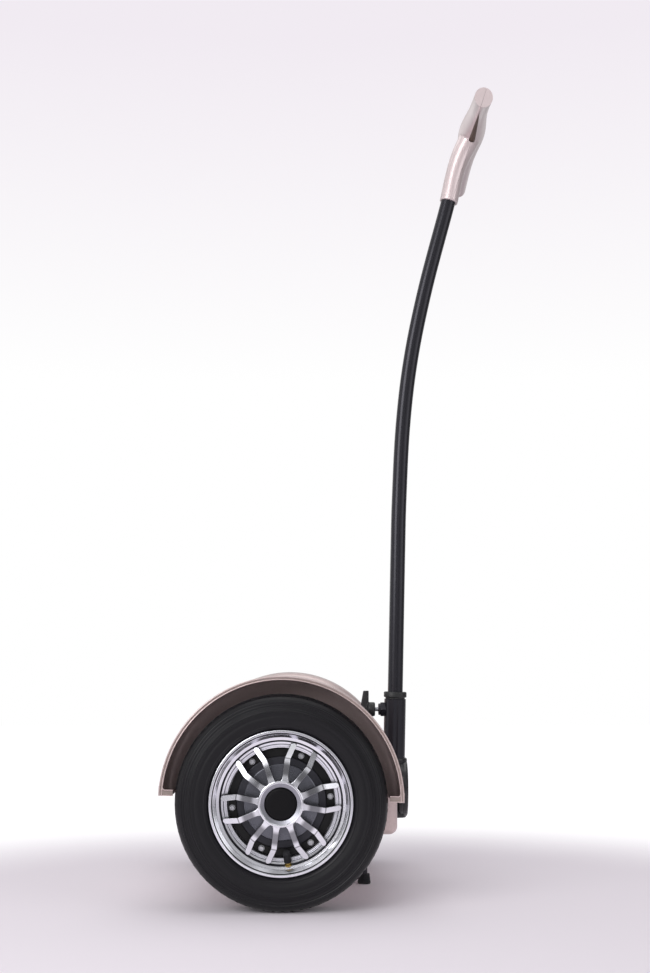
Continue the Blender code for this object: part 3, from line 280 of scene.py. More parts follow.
@dataclass(frozen=True)
class TurnedFinish(Finish):
    """A surface cut on a lathe: fine rings round the wheel axis, which stretch its highlights into fans."""

    ring_pitch: float = 3.0
    axle: tuple[float, float] = (0.0, 0.0)

    def from_axle(self, tree: Tree, place: Socket) -> tuple[Socket, Socket]:
        """Arm from the wheel's axis to the surface.

        Args:
            tree: the material's nodes.
            place: object coordinates.

        Returns:
            The arm and its length.
        """
        arm = add_node(tree, "ShaderNodeMapping", {
            "Vector": place, "Location": (-self.axle[0], 0.0, -self.axle[1]), "Scale": (1.0, 0.0, 1.0),
        }).outputs["Vector"]
        return arm, add_node(tree, "ShaderNodeVectorMath", {0: arm}, operation="LENGTH").outputs["Value"]

    def relief(self, tree: Tree, place: Socket) -> Socket:
        """Rings at the tool's pitch, drawn coarser than real ones so that they show.

        Args:
            tree: the material's nodes.
            place: object coordinates.

        Returns:
            A height from -1 to 1.
        """
        arm, radius = self.from_axle(tree, place)
        if self.anisotropy:
            around = add_node(tree, "ShaderNodeVectorMath", {0: arm, 1: Y_AXIS}, operation="CROSS_PRODUCT")
            turned = add_node(tree, "ShaderNodeVectorTransform", {0: around.outputs["Vector"]},
                              vector_type="VECTOR", convert_from="OBJECT", convert_to="WORLD")
            unit = add_node(tree, "ShaderNodeVectorMath", {0: turned.outputs[0]}, operation="NORMALIZE")
            tree.links.new(unit.outputs["Vector"], tree.nodes["Principled BSDF"].inputs["Tangent"])
        phase = add_node(tree, "ShaderNodeMath", {
            0: radius, 1: 2 * math.pi / mm(self.ring_pitch), 2: super().relief(tree, place),
        }, operation="MULTIPLY_ADD")
        return add_node(tree, "ShaderNodeMath", {0: phase.outputs[0]}, operation="SINE").outputs["Value"]


@dataclass(frozen=True)
class PaintedReflectionFinish(TurnedFinish):
    """A turned surface with painted dark reflections in bands at some radii."""

    bands: tuple[tuple[float, float, float, float], ...] = ()
    reflection_colour: str = "#3a3a40"

    def paint(self, tree: Tree, shader: bpy.types.Node, tone: Socket,
              place: Socket) -> None:
        """Paint a dark reflection over the colour in each band, given as its middle, half width, soft edge
        and depth.

        Args:
            tree: the material's nodes.
            shader: the Principled BSDF.
            tone: the colour with its slow drift.
            place: object coordinates.
        """
        radius = self.from_axle(tree, place)[1]
        for middle_radius, half, edge, depth in self.bands:
            offset = add_node(tree, "ShaderNodeMath", {0: radius, 1: mm(middle_radius)}, operation="SUBTRACT")
            reach = add_node(tree, "ShaderNodeMath", {0: offset.outputs[0]}, operation="ABSOLUTE")
            share = add_node(tree, "ShaderNodeMapRange", {
                "Value": reach.outputs[0], 1: mm(half), 2: mm(half + edge), 3: depth, 4: 0.0,
            }, interpolation_type="SMOOTHSTEP")
            tone = add_node(tree, "ShaderNodeMix", {
                0: share.outputs["Result"], 6: tone, 7: linear(self.reflection_colour),
            }, data_type="RGBA").outputs[2]
        tree.links.new(tone, shader.inputs["Base Color"])


AXLE_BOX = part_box("right_tyre")
AXLE = ((AXLE_BOX[0].x + AXLE_BOX[1].x) / 2, AXLE_BOX[1].z / 2)

# Painted shade in the groove along the handle's seam: dark brown, matt
PAINTED_SEAM_SHADE = Finish("painted_seam_shade", Slot.CHAMPAGNE_PAINT, "#6b594f", "#5c4b43", 0.55, grain_size=2.0,
                    grain_height=0.02, specular=0.3)
# Butyl tyre rubber, moulded: near black with a cool cast and a soft sheen
TYRE = TurnedFinish("moulded_tyre_rubber", Slot.TYRE_RUBBER, "#0f0e13", "#0b0a0f", 0.46, grain_size=2.2,
                    grain_height=0.04, ring_pitch=5.5, axle=AXLE, roughness_spread=0.08, specular=0.27)
# Nitrile rubber, moulded: matt black
SOFT_BLACK = Finish("moulded_soft_rubber", Slot.SOFT_RUBBER, "#1d1d21", "#17171b", 0.7, grain_size=1.5,
                    grain_height=0.06, specular=0.35)
# Cast aluminium alloy, turned bright: fans of light and thin dark rings
BRIGHT_TURNED = TurnedFinish("bright_turned_aluminium", Slot.MACHINED_ALUMINIUM, "#e4e4ea", "#d3d3dc", 0.2,
                             1.0, grain_size=6.0, grain_height=0.012, ring_pitch=2.6, axle=AXLE,
                             anisotropy=0.55)
# The dish's step, shot blasted after turning: grey and softer
RIM_SATIN = TurnedFinish("blasted_turned_aluminium", Slot.MACHINED_ALUMINIUM, "#9a9aa2", "#8a8a93", 0.34, 1.0,
                         grain_size=4.0, grain_height=0.012, ring_pitch=2.6, axle=AXLE, anisotropy=0.4)
# The same alloy, milled on the spokes: bright, with a painted dark reflection across each inner leg and a
# thin one at each knee
BRIGHT_MILLED = PaintedReflectionFinish("milled_aluminium_painted_reflections", Slot.MACHINED_ALUMINIUM, "#e6e6ec", "#d8d8e0", 0.2,
                             1.0, grain_size=3.0, grain_height=0.006, ring_pitch=2.6, axle=AXLE,
                             bands=((56.0, 6.0, 8.0, 0.72), (73.6, 0.5, 0.9, 0.6)))
# Stoved black paint on the wheel's and motor's recesses: satin, slightly uneven
WHEEL_BLACK = Finish("stoved_black_paint", Slot.MOTOR_BLACK, "#0e0e10", "#09090b", 0.36, 0.1, grain_size=1.8,
                     grain_height=0.03, specular=0.3)
# Phosphated steel ring of the motor cover: dark grey, half bright
MOTOR_RING = TurnedFinish("phosphated_motor_ring", Slot.MOTOR_BLACK, "#35353c", "#2a2a30", 0.4, 0.5,
                          grain_size=3.0, grain_height=0.01, ring_pitch=3.0, axle=AXLE)
# Turned and lacquered motor cover disc: mid grey with a silky light
MOTOR_DISC = TurnedFinish("lacquered_motor_disc", Slot.MOTOR_BLACK, "#74757d", "#505159", 0.26, 0.85,
                          grain_size=3.0, grain_height=0.014, ring_pitch=2.8, axle=AXLE, anisotropy=0.6)
# Sand-cast aluminium, bead blasted: dull grey, even grain
CAST_GREY = Finish("blasted_cast_aluminium", Slot.CAST_ALUMINIUM, "#8f9096", "#808188", 0.5, 0.85,
                   grain_size=1.6, grain_height=0.06)
# Cast bracket under black powder coat: fine orange peel
POWDER_BLACK = Finish("black_powder_coat", Slot.CAST_ALUMINIUM, "#1c1b1f", "#161518", 0.27, grain_size=2.4,
                      grain_height=0.02)
# Champagne metallic lacquer on moulded panels: rose grey in shade, pale in light
CHAMPAGNE = FlakePaint("champagne_metallic_lacquer", Slot.CHAMPAGNE_PAINT, "#c6b2b0", "#bca8a6", 0.38, 0.5,
                       drift_size=120.0, grain_size=2.4, grain_height=0.005, coat=0.4, coat_roughness=0.16)
# Painted shade in the fenders' rolled lips and on their end strips: a darker taupe, matt, with no flakes
PAINTED_LIP_SHADE = Finish("painted_lip_shade", Slot.CHAMPAGNE_PAINT, "#9c8f8a", "#8f827c", 0.6, 0.0, drift_size=90.0,
                   grain_size=2.0, grain_height=0.01, specular=0.3)
# The handle's panels carry the same lacquer in a lighter copy, which paints in the light that falls on them
CHAMPAGNE_PAINTED_LIGHT = FlakePaint("champagne_lacquer_painted_light", Slot.CHAMPAGNE_PAINT, "#e6d6d7", "#dccbcc", 0.36,
                              0.5, drift_size=90.0, grain_size=2.4, grain_height=0.004, coat=0.5,
                              coat_roughness=0.24, flake_share=0.12)
# Extruded aluminium tube, anodised black: satin, with fine lines along it
ANODISED = Finish("black_anodised_extrusion", Slot.BLACK_ANODISED, "#2f2e35", "#29282e", 0.24, 0.5,
                  drift_size=150.0, roughness_spread=0.02, grain_size=3.0, grain_height=0.006,
                  grain_stretch=(1.0, 1.0, 0.02))
# Footboard plate, black anodised after bead blasting
DECK_BLACK = Finish("black_anodised_plate", Slot.BLACK_ANODISED, "#232327", "#1c1c1f", 0.46, 0.3,
                    grain_size=1.2, grain_height=0.05)
# Glass-filled nylon, moulded black: fine spark texture
NYLON = Finish("moulded_black_nylon", Slot.BLACK_PLASTIC, "#1d1d1f", "#161618", 0.44, grain_size=1.0,
               grain_height=0.05)
# ABS cap, moulded black: smoother and deeper than the nylon
CAP_BLACK = Finish("moulded_black_abs", Slot.BLACK_PLASTIC, "#08070a", "#060508", 0.5, specular=0.16,
                   grain_size=2.0, grain_height=0.02)
# Zinc-plated steel fasteners: cool bright, faintly mottled
ZINC = Finish("zinc_plated_fastener", Slot.ZINC_PLATED_STEEL, "#c9c9cc", "#aeb0b6", 0.3, 1.0, drift_size=4.0,
              grain_size=1.0, grain_height=0.02)
# Turned brass of the valve stem
BRASS = Finish("turned_brass", Slot.ZINC_PLATED_STEEL, "#b39a58", "#8c7438", 0.28, 1.0, drift_size=4.0,
               grain_size=1.2, grain_height=0.03)
# Ground bearing steel
STEEL = Finish("ground_bearing_steel", Slot.GROUND_STEEL, "#b4b4b8", "#a2a2a8", 0.28, 1.0, grain_size=2.0,
               grain_height=0.01)
# Enamelled copper windings on a lacquered core
WINDINGS = Finish("enamelled_copper_windings", Slot.WOUND_CORE, "#a2552d", "#6f3a22", 0.42, 0.7,
                  drift_size=8.0, grain_size=1.4, grain_height=0.2)
# PVC shrink sleeve round the battery
SLEEVE_BLUE = Finish("shrink_sleeve_blue", Slot.BATTERY_WRAP, "#24507e", "#1c4068", 0.35, grain_size=6.0,
                     grain_height=0.1)


def soften(points: Sequence[Point], radius: float, closed: bool = False) -> list[Point]:
    """Round the corners of an outline.

    Args:
        points: the outline's corners.
        radius: how far from each corner the rounding starts; a short side limits it.
        closed: whether the last corner joins the first.

    Returns:
        The outline with four points for each rounded corner.
    """
    result: list[Point] = []
    count = len(points)
    for index, (x, y) in enumerate(points):
        if not closed and index in (0, count - 1):
            result.append((x, y))
            continue
        corner = Vector((x, y))
        before = Vector(points[index - 1]) - corner
        after = Vector(points[(index + 1) % count]) - corner
        start = corner + before.normalized() * min(radius, before.length * 0.45)
        end = corner + after.normalized() * min(radius, after.length * 0.45)
        for share in (0.0, 0.35, 0.65, 1.0):
            spot = start.lerp(corner, share).lerp(corner.lerp(end, share), share)
            result.append((spot.x, spot.y))
    return result


def turn(profile: Sequence[Point], steps: int, closed: bool = True, sweep: float = 2 * math.pi,
         start: float = 0.0) -> Shape:
    """Turn a profile about the local Z axis.

    Args:
        profile: (radius, height) points in millimetres.
        steps: faces round the sweep.
        closed: whether the profile's last point joins its first, as a ring's section does.
        sweep: angle turned through.
        start: angle at which the sweep starts.

    Returns:
        A new bmesh.
    """
    bm = bmesh.new()
    points = []
    for radius, height in profile:
        points.append(bm.verts.new((mm(radius) * math.cos(start), mm(radius) * math.sin(start), mm(height))))
    edges = [bm.edges.new(pair) for pair in zip(points, points[1:])]
    if closed:
        edges.append(bm.edges.new((points[-1], points[0])))
    bmesh.ops.spin(bm, geom=points + edges, cent=(0, 0, 0), axis=(0, 0, 1), dvec=(0, 0, 0), angle=sweep,
                   steps=steps, use_merge=sweep > 6.28, use_normal_flip=False, use_duplicate=False)
    bmesh.ops.remove_doubles(bm, verts=bm.verts, dist=mm(0.01))
    bmesh.ops.recalc_face_normals(bm, faces=bm.faces)
    return bm


def sweep(outline: Sequence[Point], stations: Sequence[Matrix], capped: bool = True) -> Shape:
    """Extrude an outline from station to station.

    Args:
        outline: the closed section, in millimetres across each station's X and Y.
        stations: where the section stands, with any scaling.
        capped: whether both ends are closed.

    Returns:
        A new bmesh.
    """
    bm = bmesh.new()
    points = [bm.verts.new((mm(x), mm(y), 0)) for x, y in outline]
    edges = [bm.edges.new((points[i - 1], points[i])) for i in range(len(points))]
    if capped:
        bmesh.ops.contextual_create(bm, geom=edges)
    level = edges
    for _ in stations[1:]:
        made = bmesh.ops.extrude_edge_only(bm, edges=level)["geom"]
        level = [item for item in made if isinstance(item, bmesh.types.BMEdge)]
        moved = [item for item in made if isinstance(item, bmesh.types.BMVert)]
        bmesh.ops.translate(bm, verts=moved, vec=(0, 0, 1))
    if capped:
        bmesh.ops.contextual_create(bm, geom=level)
    for vert in bm.verts:
        station = stations[round(vert.co.z)]
        vert.co = station @ Vector((vert.co.x, vert.co.y, 0))
    bm.normal_update()
    bmesh.ops.recalc_face_normals(bm, faces=bm.faces)
    bm.normal_update()
    return bm


def oval(sides: int, wide: float = 1.0, tall: float = 1.0) -> list[Point]:
    """Outline of an ellipse, from its half width and half height."""
    turns = [math.tau * i / sides for i in range(sides)]
    return [(wide * math.cos(angle), tall * math.sin(angle)) for angle in turns]


def lifted(height: float) -> Matrix:
    """A shift along Z, in millimetres."""
    return Matrix.Translation((0, 0, mm(height)))


def block(low: Sequence[float], high: Sequence[float]) -> Shape:
    """A cube stretched between two corners, given in metres."""
    centre = (Vector(low) + Vector(high)) / 2
    size = Vector(high) - Vector(low)
    bm = bmesh.new()
    bmesh.ops.create_cube(bm, size=1, matrix=Matrix.Translation(centre) @ Matrix.Diagonal((*size, 1)))
    return bm


def rod(radius: float, length: float, place: Matrix, sides: int = 48, end_radius: float | None = None
        ) -> Shape:
    """A round bar or cone.

    Args:
        radius: in millimetres, at the start.
        length: in millimetres, along the place's Z.
        place: where its start stands.
        sides: faces round it.
        end_radius: in millimetres, if it tapers.

    Returns:
        A new bmesh.
    """
    bm = bmesh.new()
    bmesh.ops.create_cone(bm, cap_ends=True, segments=sides, radius1=mm(radius),
                          radius2=mm(radius if end_radius is None else end_radius), depth=mm(length),
                          matrix=place @ lifted(length / 2))
    return bm


def round_edges(bm: Shape, edges: Iterable[bmesh.types.BMEdge], width: float, segments: int = 3) -> None:
    """Bevel edges with a round profile; the width is in millimetres."""
    bmesh.ops.bevel(bm, geom=list(edges), offset=mm(width), offset_type="OFFSET", affect="EDGES",
                    segments=segments, profile=0.5, material=-1, clamp_overlap=True)


def upright_edges(bm: Shape) -> list[bmesh.types.BMEdge]:
    """Edges of a block that run up and down."""
    return [edge for edge in bm.edges if abs(edge.verts[0].co.z - edge.verts[1].co.z) > mm(1)]


def fill_holes(bm: Shape) -> None:
    """Close every open end of a bmesh."""
    bmesh.ops.holes_fill(bm, edges=[edge for edge in bm.edges if edge.is_boundary], sides=0)


def put(bm: Shape, place: Matrix) -> Shape:
    """Move a bmesh to its place."""
    bmesh.ops.transform(bm, matrix=place, verts=bm.verts)
    return bm


def coat(bm: Shape, number: int) -> Shape:
    """Give every face of a bmesh one of its piece's finishes, by number."""
    for face in bm.faces:
        face.material_index = number
    return bm


def coat_rings(bm: Shape, zones: Sequence[tuple[int, Point, Point]]) -> None:
    """Give the faces of a turned shape their finishes, by where their centres lie.

    Args:
        bm: the shape, turned about its Z axis.
        zones: the number of a finish, with the radii and the heights between which it lies, in millimetres.
            The first zone that holds a face counts, and a face in none keeps its finish.
    """
    for face in bm.faces:
        centre = face.calc_center_median()
        radius = math.hypot(centre.x, centre.y)
        for number, (inner, outer), (low, high) in zones:
            if mm(inner) < radius < mm(outer) and mm(low) < centre.z < mm(high):
                face.material_index = number
                break


def scratch(bm: Shape) -> bpy.types.Object:
    """Put a bmesh in a hidden object for a modifier to work on, and free it."""
    mesh = bpy.data.meshes.new("scratch")
    bm.to_mesh(mesh)
    bm.free()
    made = bpy.data.objects.new("scratch", mesh)
    bpy.context.scene.collection.objects.link(made)
    return made


def harvest(*used: bpy.types.Object) -> Shape:
    """Read the first object with its modifiers applied, then remove all of them.

    Args:
        used: the object to read, and any others that its modifiers name.

    Returns:
        The evaluated mesh, welded.
    """
    bpy.context.view_layer.update()
    evaluated = used[0].evaluated_get(bpy.context.evaluated_depsgraph_get())
    bm = bmesh.new()
    bm.from_mesh(evaluated.to_mesh())
    evaluated.to_mesh_clear()
    for thing in used:
        mesh = thing.data
        bpy.data.objects.remove(thing, do_unlink=True)
        bpy.data.meshes.remove(mesh)
    bmesh.ops.remove_doubles(bm, verts=bm.verts, dist=mm(0.01))
    return bm


def combine(operation: str, first: Shape, *others: Shape) -> Shape:
    """Join or cut solids.

    Args:
        operation: UNION or DIFFERENCE.
        first: the solid that is changed.
        others: the solids that join it or are cut out of it; all are used up.

    Returns:
        The result as a new bmesh.
    """
    base = scratch(first)
    tools = []
    for bm in others:
        tool = scratch(bm)
        step = base.modifiers.new("step", "BOOLEAN")
        step.operation = operation
        step.object = tool
        step.solver = "EXACT"
        tools.append(tool)
    return harvest(base, *tools)


def merge(first: Shape, *others: Shape) -> Shape:
    """Put several bmeshes in the first one, side by side."""
    for bm in others:
        mesh = bpy.data.meshes.new("merge")
        bm.to_mesh(mesh)
        bm.free()
        first.from_mesh(mesh)
        bpy.data.meshes.remove(mesh)
    return first


def copies(bm: Shape, places: Sequence[Matrix]) -> Shape:
    """Repeat a bmesh at each place.

    Args:
        bm: the shape to repeat; it is used up.
        places: one matrix for each copy.

    Returns:
        All the copies in one new bmesh.
    """
    mesh = bpy.data.meshes.new("repeat")
    bm.to_mesh(mesh)
    bm.free()
    result = bmesh.new()
    for place in places:
        known = len(result.verts)
        result.from_mesh(mesh)
        result.verts.ensure_lookup_table()
        bmesh.ops.transform(result, matrix=place, verts=result.verts[known:])
    bpy.data.meshes.remove(mesh)
    return result


def melt(bm: Shape, voxel: float, rounds: int) -> Shape:
    """Blend the solids of a bmesh into one smooth skin.

    Args:
        bm: overlapping solids; it is used up.
        voxel: size of the new faces, in millimetres.
        rounds: how often the skin is smoothed.

    Returns:
        The blended skin.
    """
    lump = scratch(bm)
    remesh = lump.modifiers.new("remesh", "REMESH")
    remesh.mode = "VOXEL"
    remesh.voxel_size = mm(voxel)
    smooth = lump.modifiers.new("smooth", "SMOOTH")
    smooth.factor = 0.5
    smooth.iterations = rounds
    return harvest(lump)


def settle(bm: Shape, name: str, body: Body, finishes: Sequence[Finish], replaces: Sequence[str] = (),
           sharp: float = 32.0, bevel: float = 0.0) -> bpy.types.Object:
    """Make a finished piece of a bmesh whose place is already in its points.

    Args:
        bm: the shape; it is used up.
        name: the piece's name.
        body: the body that it moves with.
        finishes: its finishes, in the order of its faces' material numbers.
        replaces: CAD nodes that it stands for.
        sharp: faces that meet at more than this many degrees keep a crisp edge.
        bevel: width of the rounding on crisp edges, in millimetres.

    Returns:
        The new object.
    """
    bmesh.ops.remove_doubles(bm, verts=bm.verts, dist=mm(0.005))
    bmesh.ops.recalc_face_normals(bm, faces=bm.faces)
    mesh = bpy.data.meshes.new(name)
    bm.to_mesh(mesh)
    bm.free()
    for finish in finishes:
        mesh.materials.append(finish.material())
    mesh.shade_smooth()
    mesh.set_sharp_from_angle(angle=math.radians(sharp))
    made = bpy.data.objects.new(name, mesh)
    bpy.context.scene.collection.objects.link(made)
    if bevel:
        rounding = made.modifiers.new("rounded edges", "BEVEL")
        rounding.width = mm(bevel)
        rounding.segments = 2
        rounding.limit_method = "ANGLE"
        rounding.angle_limit = math.radians(sharp)
        rounding.harden_normals = True
    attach(made, body.value)
    if replaces:
        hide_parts(*replaces)
    LOG.info("%s on %s: %d faces", name, body.value, len(mesh.polygons))
    return made


def dress(node: str, finish: Finish) -> None:
    """Give a CAD node that stays in view its finish."""
    materials = frame["nodes"][node].data.materials
    materials.clear()
    materials.append(finish.material())
    LOG.info("%s keeps its CAD shape, in %s", node, finish.name)


def middle(node: str) -> Vector:
    """Centre of a CAD node's box."""
    low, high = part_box(node)
    return (low + high) / 2


def spot(x: float, y: float, z: float) -> Vector:
    """A point in the frame, from millimetres forward of, left of and above the middle of the axle."""
    return Vector((AXLE[0] + mm(x), mm(y), AXLE[1] + mm(z)))


def smooth_points(points: Sequence[Sequence[float]], per_span: int) -> list[Vector]:
    """Read a smooth curve through points.

    Args:
        points: the points that the curve passes through, in any number of dimensions.
        per_span: steps between one point and the next.

    Returns:
        Points on the curve, ends included.
    """
    known = [Vector(point) for point in points]
    padded = [known[0] * 2 - known[1], *known, known[-1] * 2 - known[-2]]
    curve = []
    for a, b, c, d in zip(padded, padded[1:], padded[2:], padded[3:]):
        for step in range(per_span):
            t = step / per_span
            curve.append(0.5 * (2 * b + (c - a) * t + (2 * a - 5 * b + 4 * c - d) * t ** 2
                                + (3 * b - a - 3 * c + d) * t ** 3))
    curve.append(known[-1])
    return curve


def directions(path: Sequence[Vector]) -> list[Vector]:
    """Direction of a path at each of its points."""
    last = len(path) - 1
    return [(path[min(i + 1, last)] - path[max(i - 1, 0)]).normalized() for i in range(len(path))]


def station(at: Vector, across: Vector, beside: Vector, wide: float = 1.0, tall: float = 1.0) -> Matrix:
    """Where a swept section stands.

    Args:
        at: its middle.
        across: direction of the section's X.
        beside: direction of the section's Y.
        wide: scale along X.
        tall: scale along Y.

    Returns:
        The section's matrix.
    """
    axes = Matrix((across * wide, beside * tall, across.cross(beside))).transposed()
    return Matrix.Translation(at) @ axes.to_4x4()


def path_stations(path: Sequence[Vector]) -> list[Matrix]:
    """Stations along a path in the XZ plane, with X towards the scooter's front and Y to its left."""
    return [station(at, Vector((way.z, 0, -way.x)), Y_AXIS) for at, way in zip(path, directions(path))]


@dataclass(frozen=True)
class Relief:
    """A moulded ridge or groove that runs round a tyre."""

    where: float
    half_width: float
    height: float
    on_tread: bool = False


@dataclass
class Wheel:
    """One wheel: tyre, rim, spoked face, motor covers, bolts, cap and valve.

    Sizes are in millimetres. Heights along the wheel's axis are from its middle plane, outwards.
    """

    side: Side
    tyre_radius: float = 175.0
    tyre_half: float = 51.0
    tyre_steps: int = 216
    notch_every: int = 3
    notch_depth: float = 1.2
    notch_radii: Point = (170.5, 174.4)
    notch_inner: float = 29.0
    rim_half: float = 46.0
    lip_radius: float = 118.4
    rim_steps: int = 144
    motor_radius: float = 87.3
    motor_face: float = 18.0
    bolt_circle: float = 81.0
    bolt_phase: float = math.radians(6.5)
    bolt_count: int = 6
    ring_outer: float = 37.3
    ring_inner: float = 26.3
    hub_face: float = 58.0
    spoke_half: float = 4.5
    spoke_depth: float = 8.0
    knee_radii: Sequence[float] = (31.8, 73.0, 98.4)
    knee_degrees: Sequence[float] = (12.5, 15.0, 10.7)
    flare_share: float = 0.5
    flare_reach: float = 2.4
    valve_angle: float = math.radians(-83)
    valve_lean: float = math.radians(30)
    valve_circle: float = 99.4
    valve_sides: int = 32
    frame: Matrix = field(init=False)

    def __post_init__(self) -> None:
        """Find where the wheel stands, with its local Z outwards."""
        turned = Matrix.Rotation(-self.side.value * math.pi / 2, 4, "X")
        self.frame = Matrix.Translation(middle(f"{self.side.word}_tyre")) @ turned

    def fit(self, bm: Shape, part: str, finishes: Sequence[Finish], nodes: Sequence[str],
            sharp: float = 32.0, bevel: float = 0.0) -> bpy.types.Object:
        """Stand a shape made in the wheel's own frame on its axle, as a finished piece.

        Args:
            bm: the shape; it is used up.
            part: the piece's name without its side.
            finishes: its finishes.
            nodes: CAD nodes that it stands for, without their side.
            sharp: as for settle().
            bevel: as for settle().

        Returns:
            The new object.
        """
        word = self.side.word
        return settle(put(bm, self.frame), f"{word}_{part}", self.side.wheel_body, finishes,
                      [f"{word}_{node}" for node in nodes], sharp, bevel)

    def build(self) -> None:
        """Make every piece of the wheel."""
        self.tyre()
        self.rim()
        self.spoke_face()
        self.motor_cover()
        self.bolts()
        self.cap()
        self.valve()
        for node, finish in (("motor_inner_cover", CAST_GREY), ("rotor_ring", STEEL), ("stator", WINDINGS),
                             ("axle", STEEL), ("outer_bearing", STEEL), ("inner_bearing", STEEL)):
            dress(f"{self.side.word}_{node}", finish)

    def sidewall(self) -> list[Point]:
        """Outer section from the bead to the middle of the tread, with its ridges and grooves."""
        lip = self.lip_radius
        half = self.tyre_half
        top = self.tyre_radius
        smooth = smooth_points([
            (lip - 2.6, half - 10.8), (lip + 0.5, half - 9.6), (lip + 1.2, half - 7.2),
            (lip + 5.4, half - 3.8),
            (lip + 11.3, half - 1.6), (lip + 17.6, half - 0.4), (lip + 23.8, half), (lip + 30.6, half - 0.8),
            (lip + 37.4, half - 2.6), (lip + 43.2, half - 5.1), (lip + 48.1, half - 8),
            (lip + 51.8, half - 11.6),
            (top - 2.4, half - 16), (top - 0.8, half - 22.5), (top - 0.1, half - 31),
            (top, half - 41), (top, 0),
        ], 10)
        reliefs = [
            Relief(lip + 5.6, 2.6, 1.2), Relief(lip + 22.0, 3.2, -0.8), Relief(lip + 29.6, 1.8, 1.0),
            Relief(lip + 37.0, 3.0, -1.3), Relief(lip + 43.8, 2.2, 1.4),
            Relief(24, 2.0, -3.0, on_tread=True), Relief(8, 1.8, -3.0, on_tread=True),
        ]
        lengths = [0.0]
        for a, b in zip(smooth, smooth[1:]):
            lengths.append(lengths[-1] + (b - a).length)
        marks = {length: 0.0 for length in lengths[::6]}
        for relief in reliefs:
            for index, point in enumerate(smooth):
                passed = point.y <= relief.where if relief.on_tread else point.x >= relief.where
                if passed and (not relief.on_tread or point.x > top - 4):
                    break
            here = lengths[index]
            for mark in [mark for mark in marks if abs(mark - here) < relief.half_width + 0.3]:
                del marks[mark]
            for share, height in ((-1.0, 0.0), (-0.45, relief.height), (0.45, relief.height), (1.0, 0.0)):
                marks[here + share * relief.half_width] = height
        section = []
        for mark in sorted(marks):
            index = min(max(sum(length < mark for length in lengths), 1), len(smooth) - 1)
            span = lengths[index] - lengths[index - 1]
            spot_here = smooth[index - 1].lerp(smooth[index], (mark - lengths[index - 1]) / span)
            way = (smooth[index] - smooth[index - 1]).normalized()
            outwards = Vector((way.y, -way.x)) * -1
            if outwards.dot(Vector((spot_here.x - lip - 20, spot_here.y))) < 0:
                outwards.negate()
            lifted = spot_here + outwards * marks[mark]
            section.append((lifted.x, max(lifted.y, 0.0)))
        return section

    def tyre(self) -> None:
        """Pneumatic tyre with ridged sidewalls, a grooved tread and notched shoulders."""
        outer = self.sidewall()
        lip = self.lip_radius
        inner = [(self.tyre_radius - 8.4, 0.0), (self.tyre_radius - 8.4, 30.0), (lip + 28.3, 44.0),
                 (lip - 14.6, 29.7), (lip - 16.8, 36.2)]
        half_section = inner + outer
        mirrored = [(r, -u) for r, u in reversed(half_section)]
        bm = turn(half_section[1:-1] + [(self.tyre_radius, 0.0)] + mirrored[1:-1], self.tyre_steps)
        step = 2 * math.pi / self.tyre_steps
        low, high = self.notch_radii
        notched = []
        for face in bm.faces:
            centre = face.calc_center_median()
            index = int((math.atan2(centre.y, centre.x) % (2 * math.pi)) / step)
            on_shoulder = mm(low) < math.hypot(centre.x, centre.y) < mm(high)
            on_shoulder = on_shoulder and abs(centre.z) > mm(self.notch_inner) and face.normal.dot(centre) > 0
            if on_shoulder and index % self.notch_every == 0:
                notched.append(face)
        bmesh.ops.inset_region(bm, faces=notched, thickness=mm(0.5), depth=-mm(self.notch_depth),
                               use_even_offset=True)
        self.fit(bm, "tyre_rubber", [TYRE], ["tyre"], sharp=40)

    def rim(self) -> None:
        """Alloy rim: rounded lips, a bright slope, a stepped dish with fine grooves, and the barrel."""
        lip = self.lip_radius
        half = self.rim_half
        web = self.motor_face + 10
        dish = [
            (lip - 13.2, half - 7.6), (lip - 13.6, half - 8.4), (lip - 16.6, half - 11.6),
            (lip - 19.4, half - 13.8),
            (lip - 20.2, half - 15.2), (lip - 23.4, half - 15.8), (lip - 24.4, half - 16.6),
            (lip - 24.7, half - 17.6), (lip - 25.3, half - 17.6), (lip - 25.6, half - 16.9),
            (lip - 27.0, half - 17.2), (lip - 27.2, half - 18.1), (lip - 27.8, half - 18.1),
            (lip - 28.1, half - 17.5), (self.motor_radius + 1.6, web + 0.3),
            (self.motor_radius + 0.9, web - 0.8),
        ]
        profile = [
            (lip - 6.5, half - 3.2), (lip - 5.4, half - 3.0), (lip - 5.1, half - 0.8),
            (lip - 4.2, half - 0.1),
            (lip - 2.4, half), (lip - 1.0, half - 0.5), (lip - 0.2, half - 1.6), (lip, half - 3.2),
            (lip, half - 4.0),
            (lip - 17.1, half - 8), (lip - 17.1, half - 20), (lip - 19.9, half - 24), (lip - 19.9, 24 - half),
            (lip - 17.1, 20 - half), (lip - 17.1, 8 - half), (lip, 4 - half), (lip - 0.4, 1.6 - half),
            (lip - 2.4, -half), (lip - 5, -half), (lip - 7.6, 2.2 - half), (lip - 21.4, 7.0 - half),
            (lip - 23.9, 9.4 - half), (lip - 23.9, self.motor_face - 6),
            (self.motor_radius + 0.9, self.motor_face - 6),
            *reversed(dish), (lip - 12.4, half - 6.9), (lip - 11.6, half - 6.2), (lip - 6.8, half - 2.2),
        ]
        bm = turn(profile, self.rim_steps)
        coat_rings(bm, [(2, ANYWHERE, (-FAR, 20)), (1, (lip - 19.9, lip - 13.3), ANYWHERE),
                        (3, (lip - 6.75, lip - 5.15), ANYWHERE)])
        self.fit(bm, "rim_alloy", [BRIGHT_TURNED, RIM_SATIN, CAST_GREY, WHEEL_BLACK], ["rim"], sharp=24)

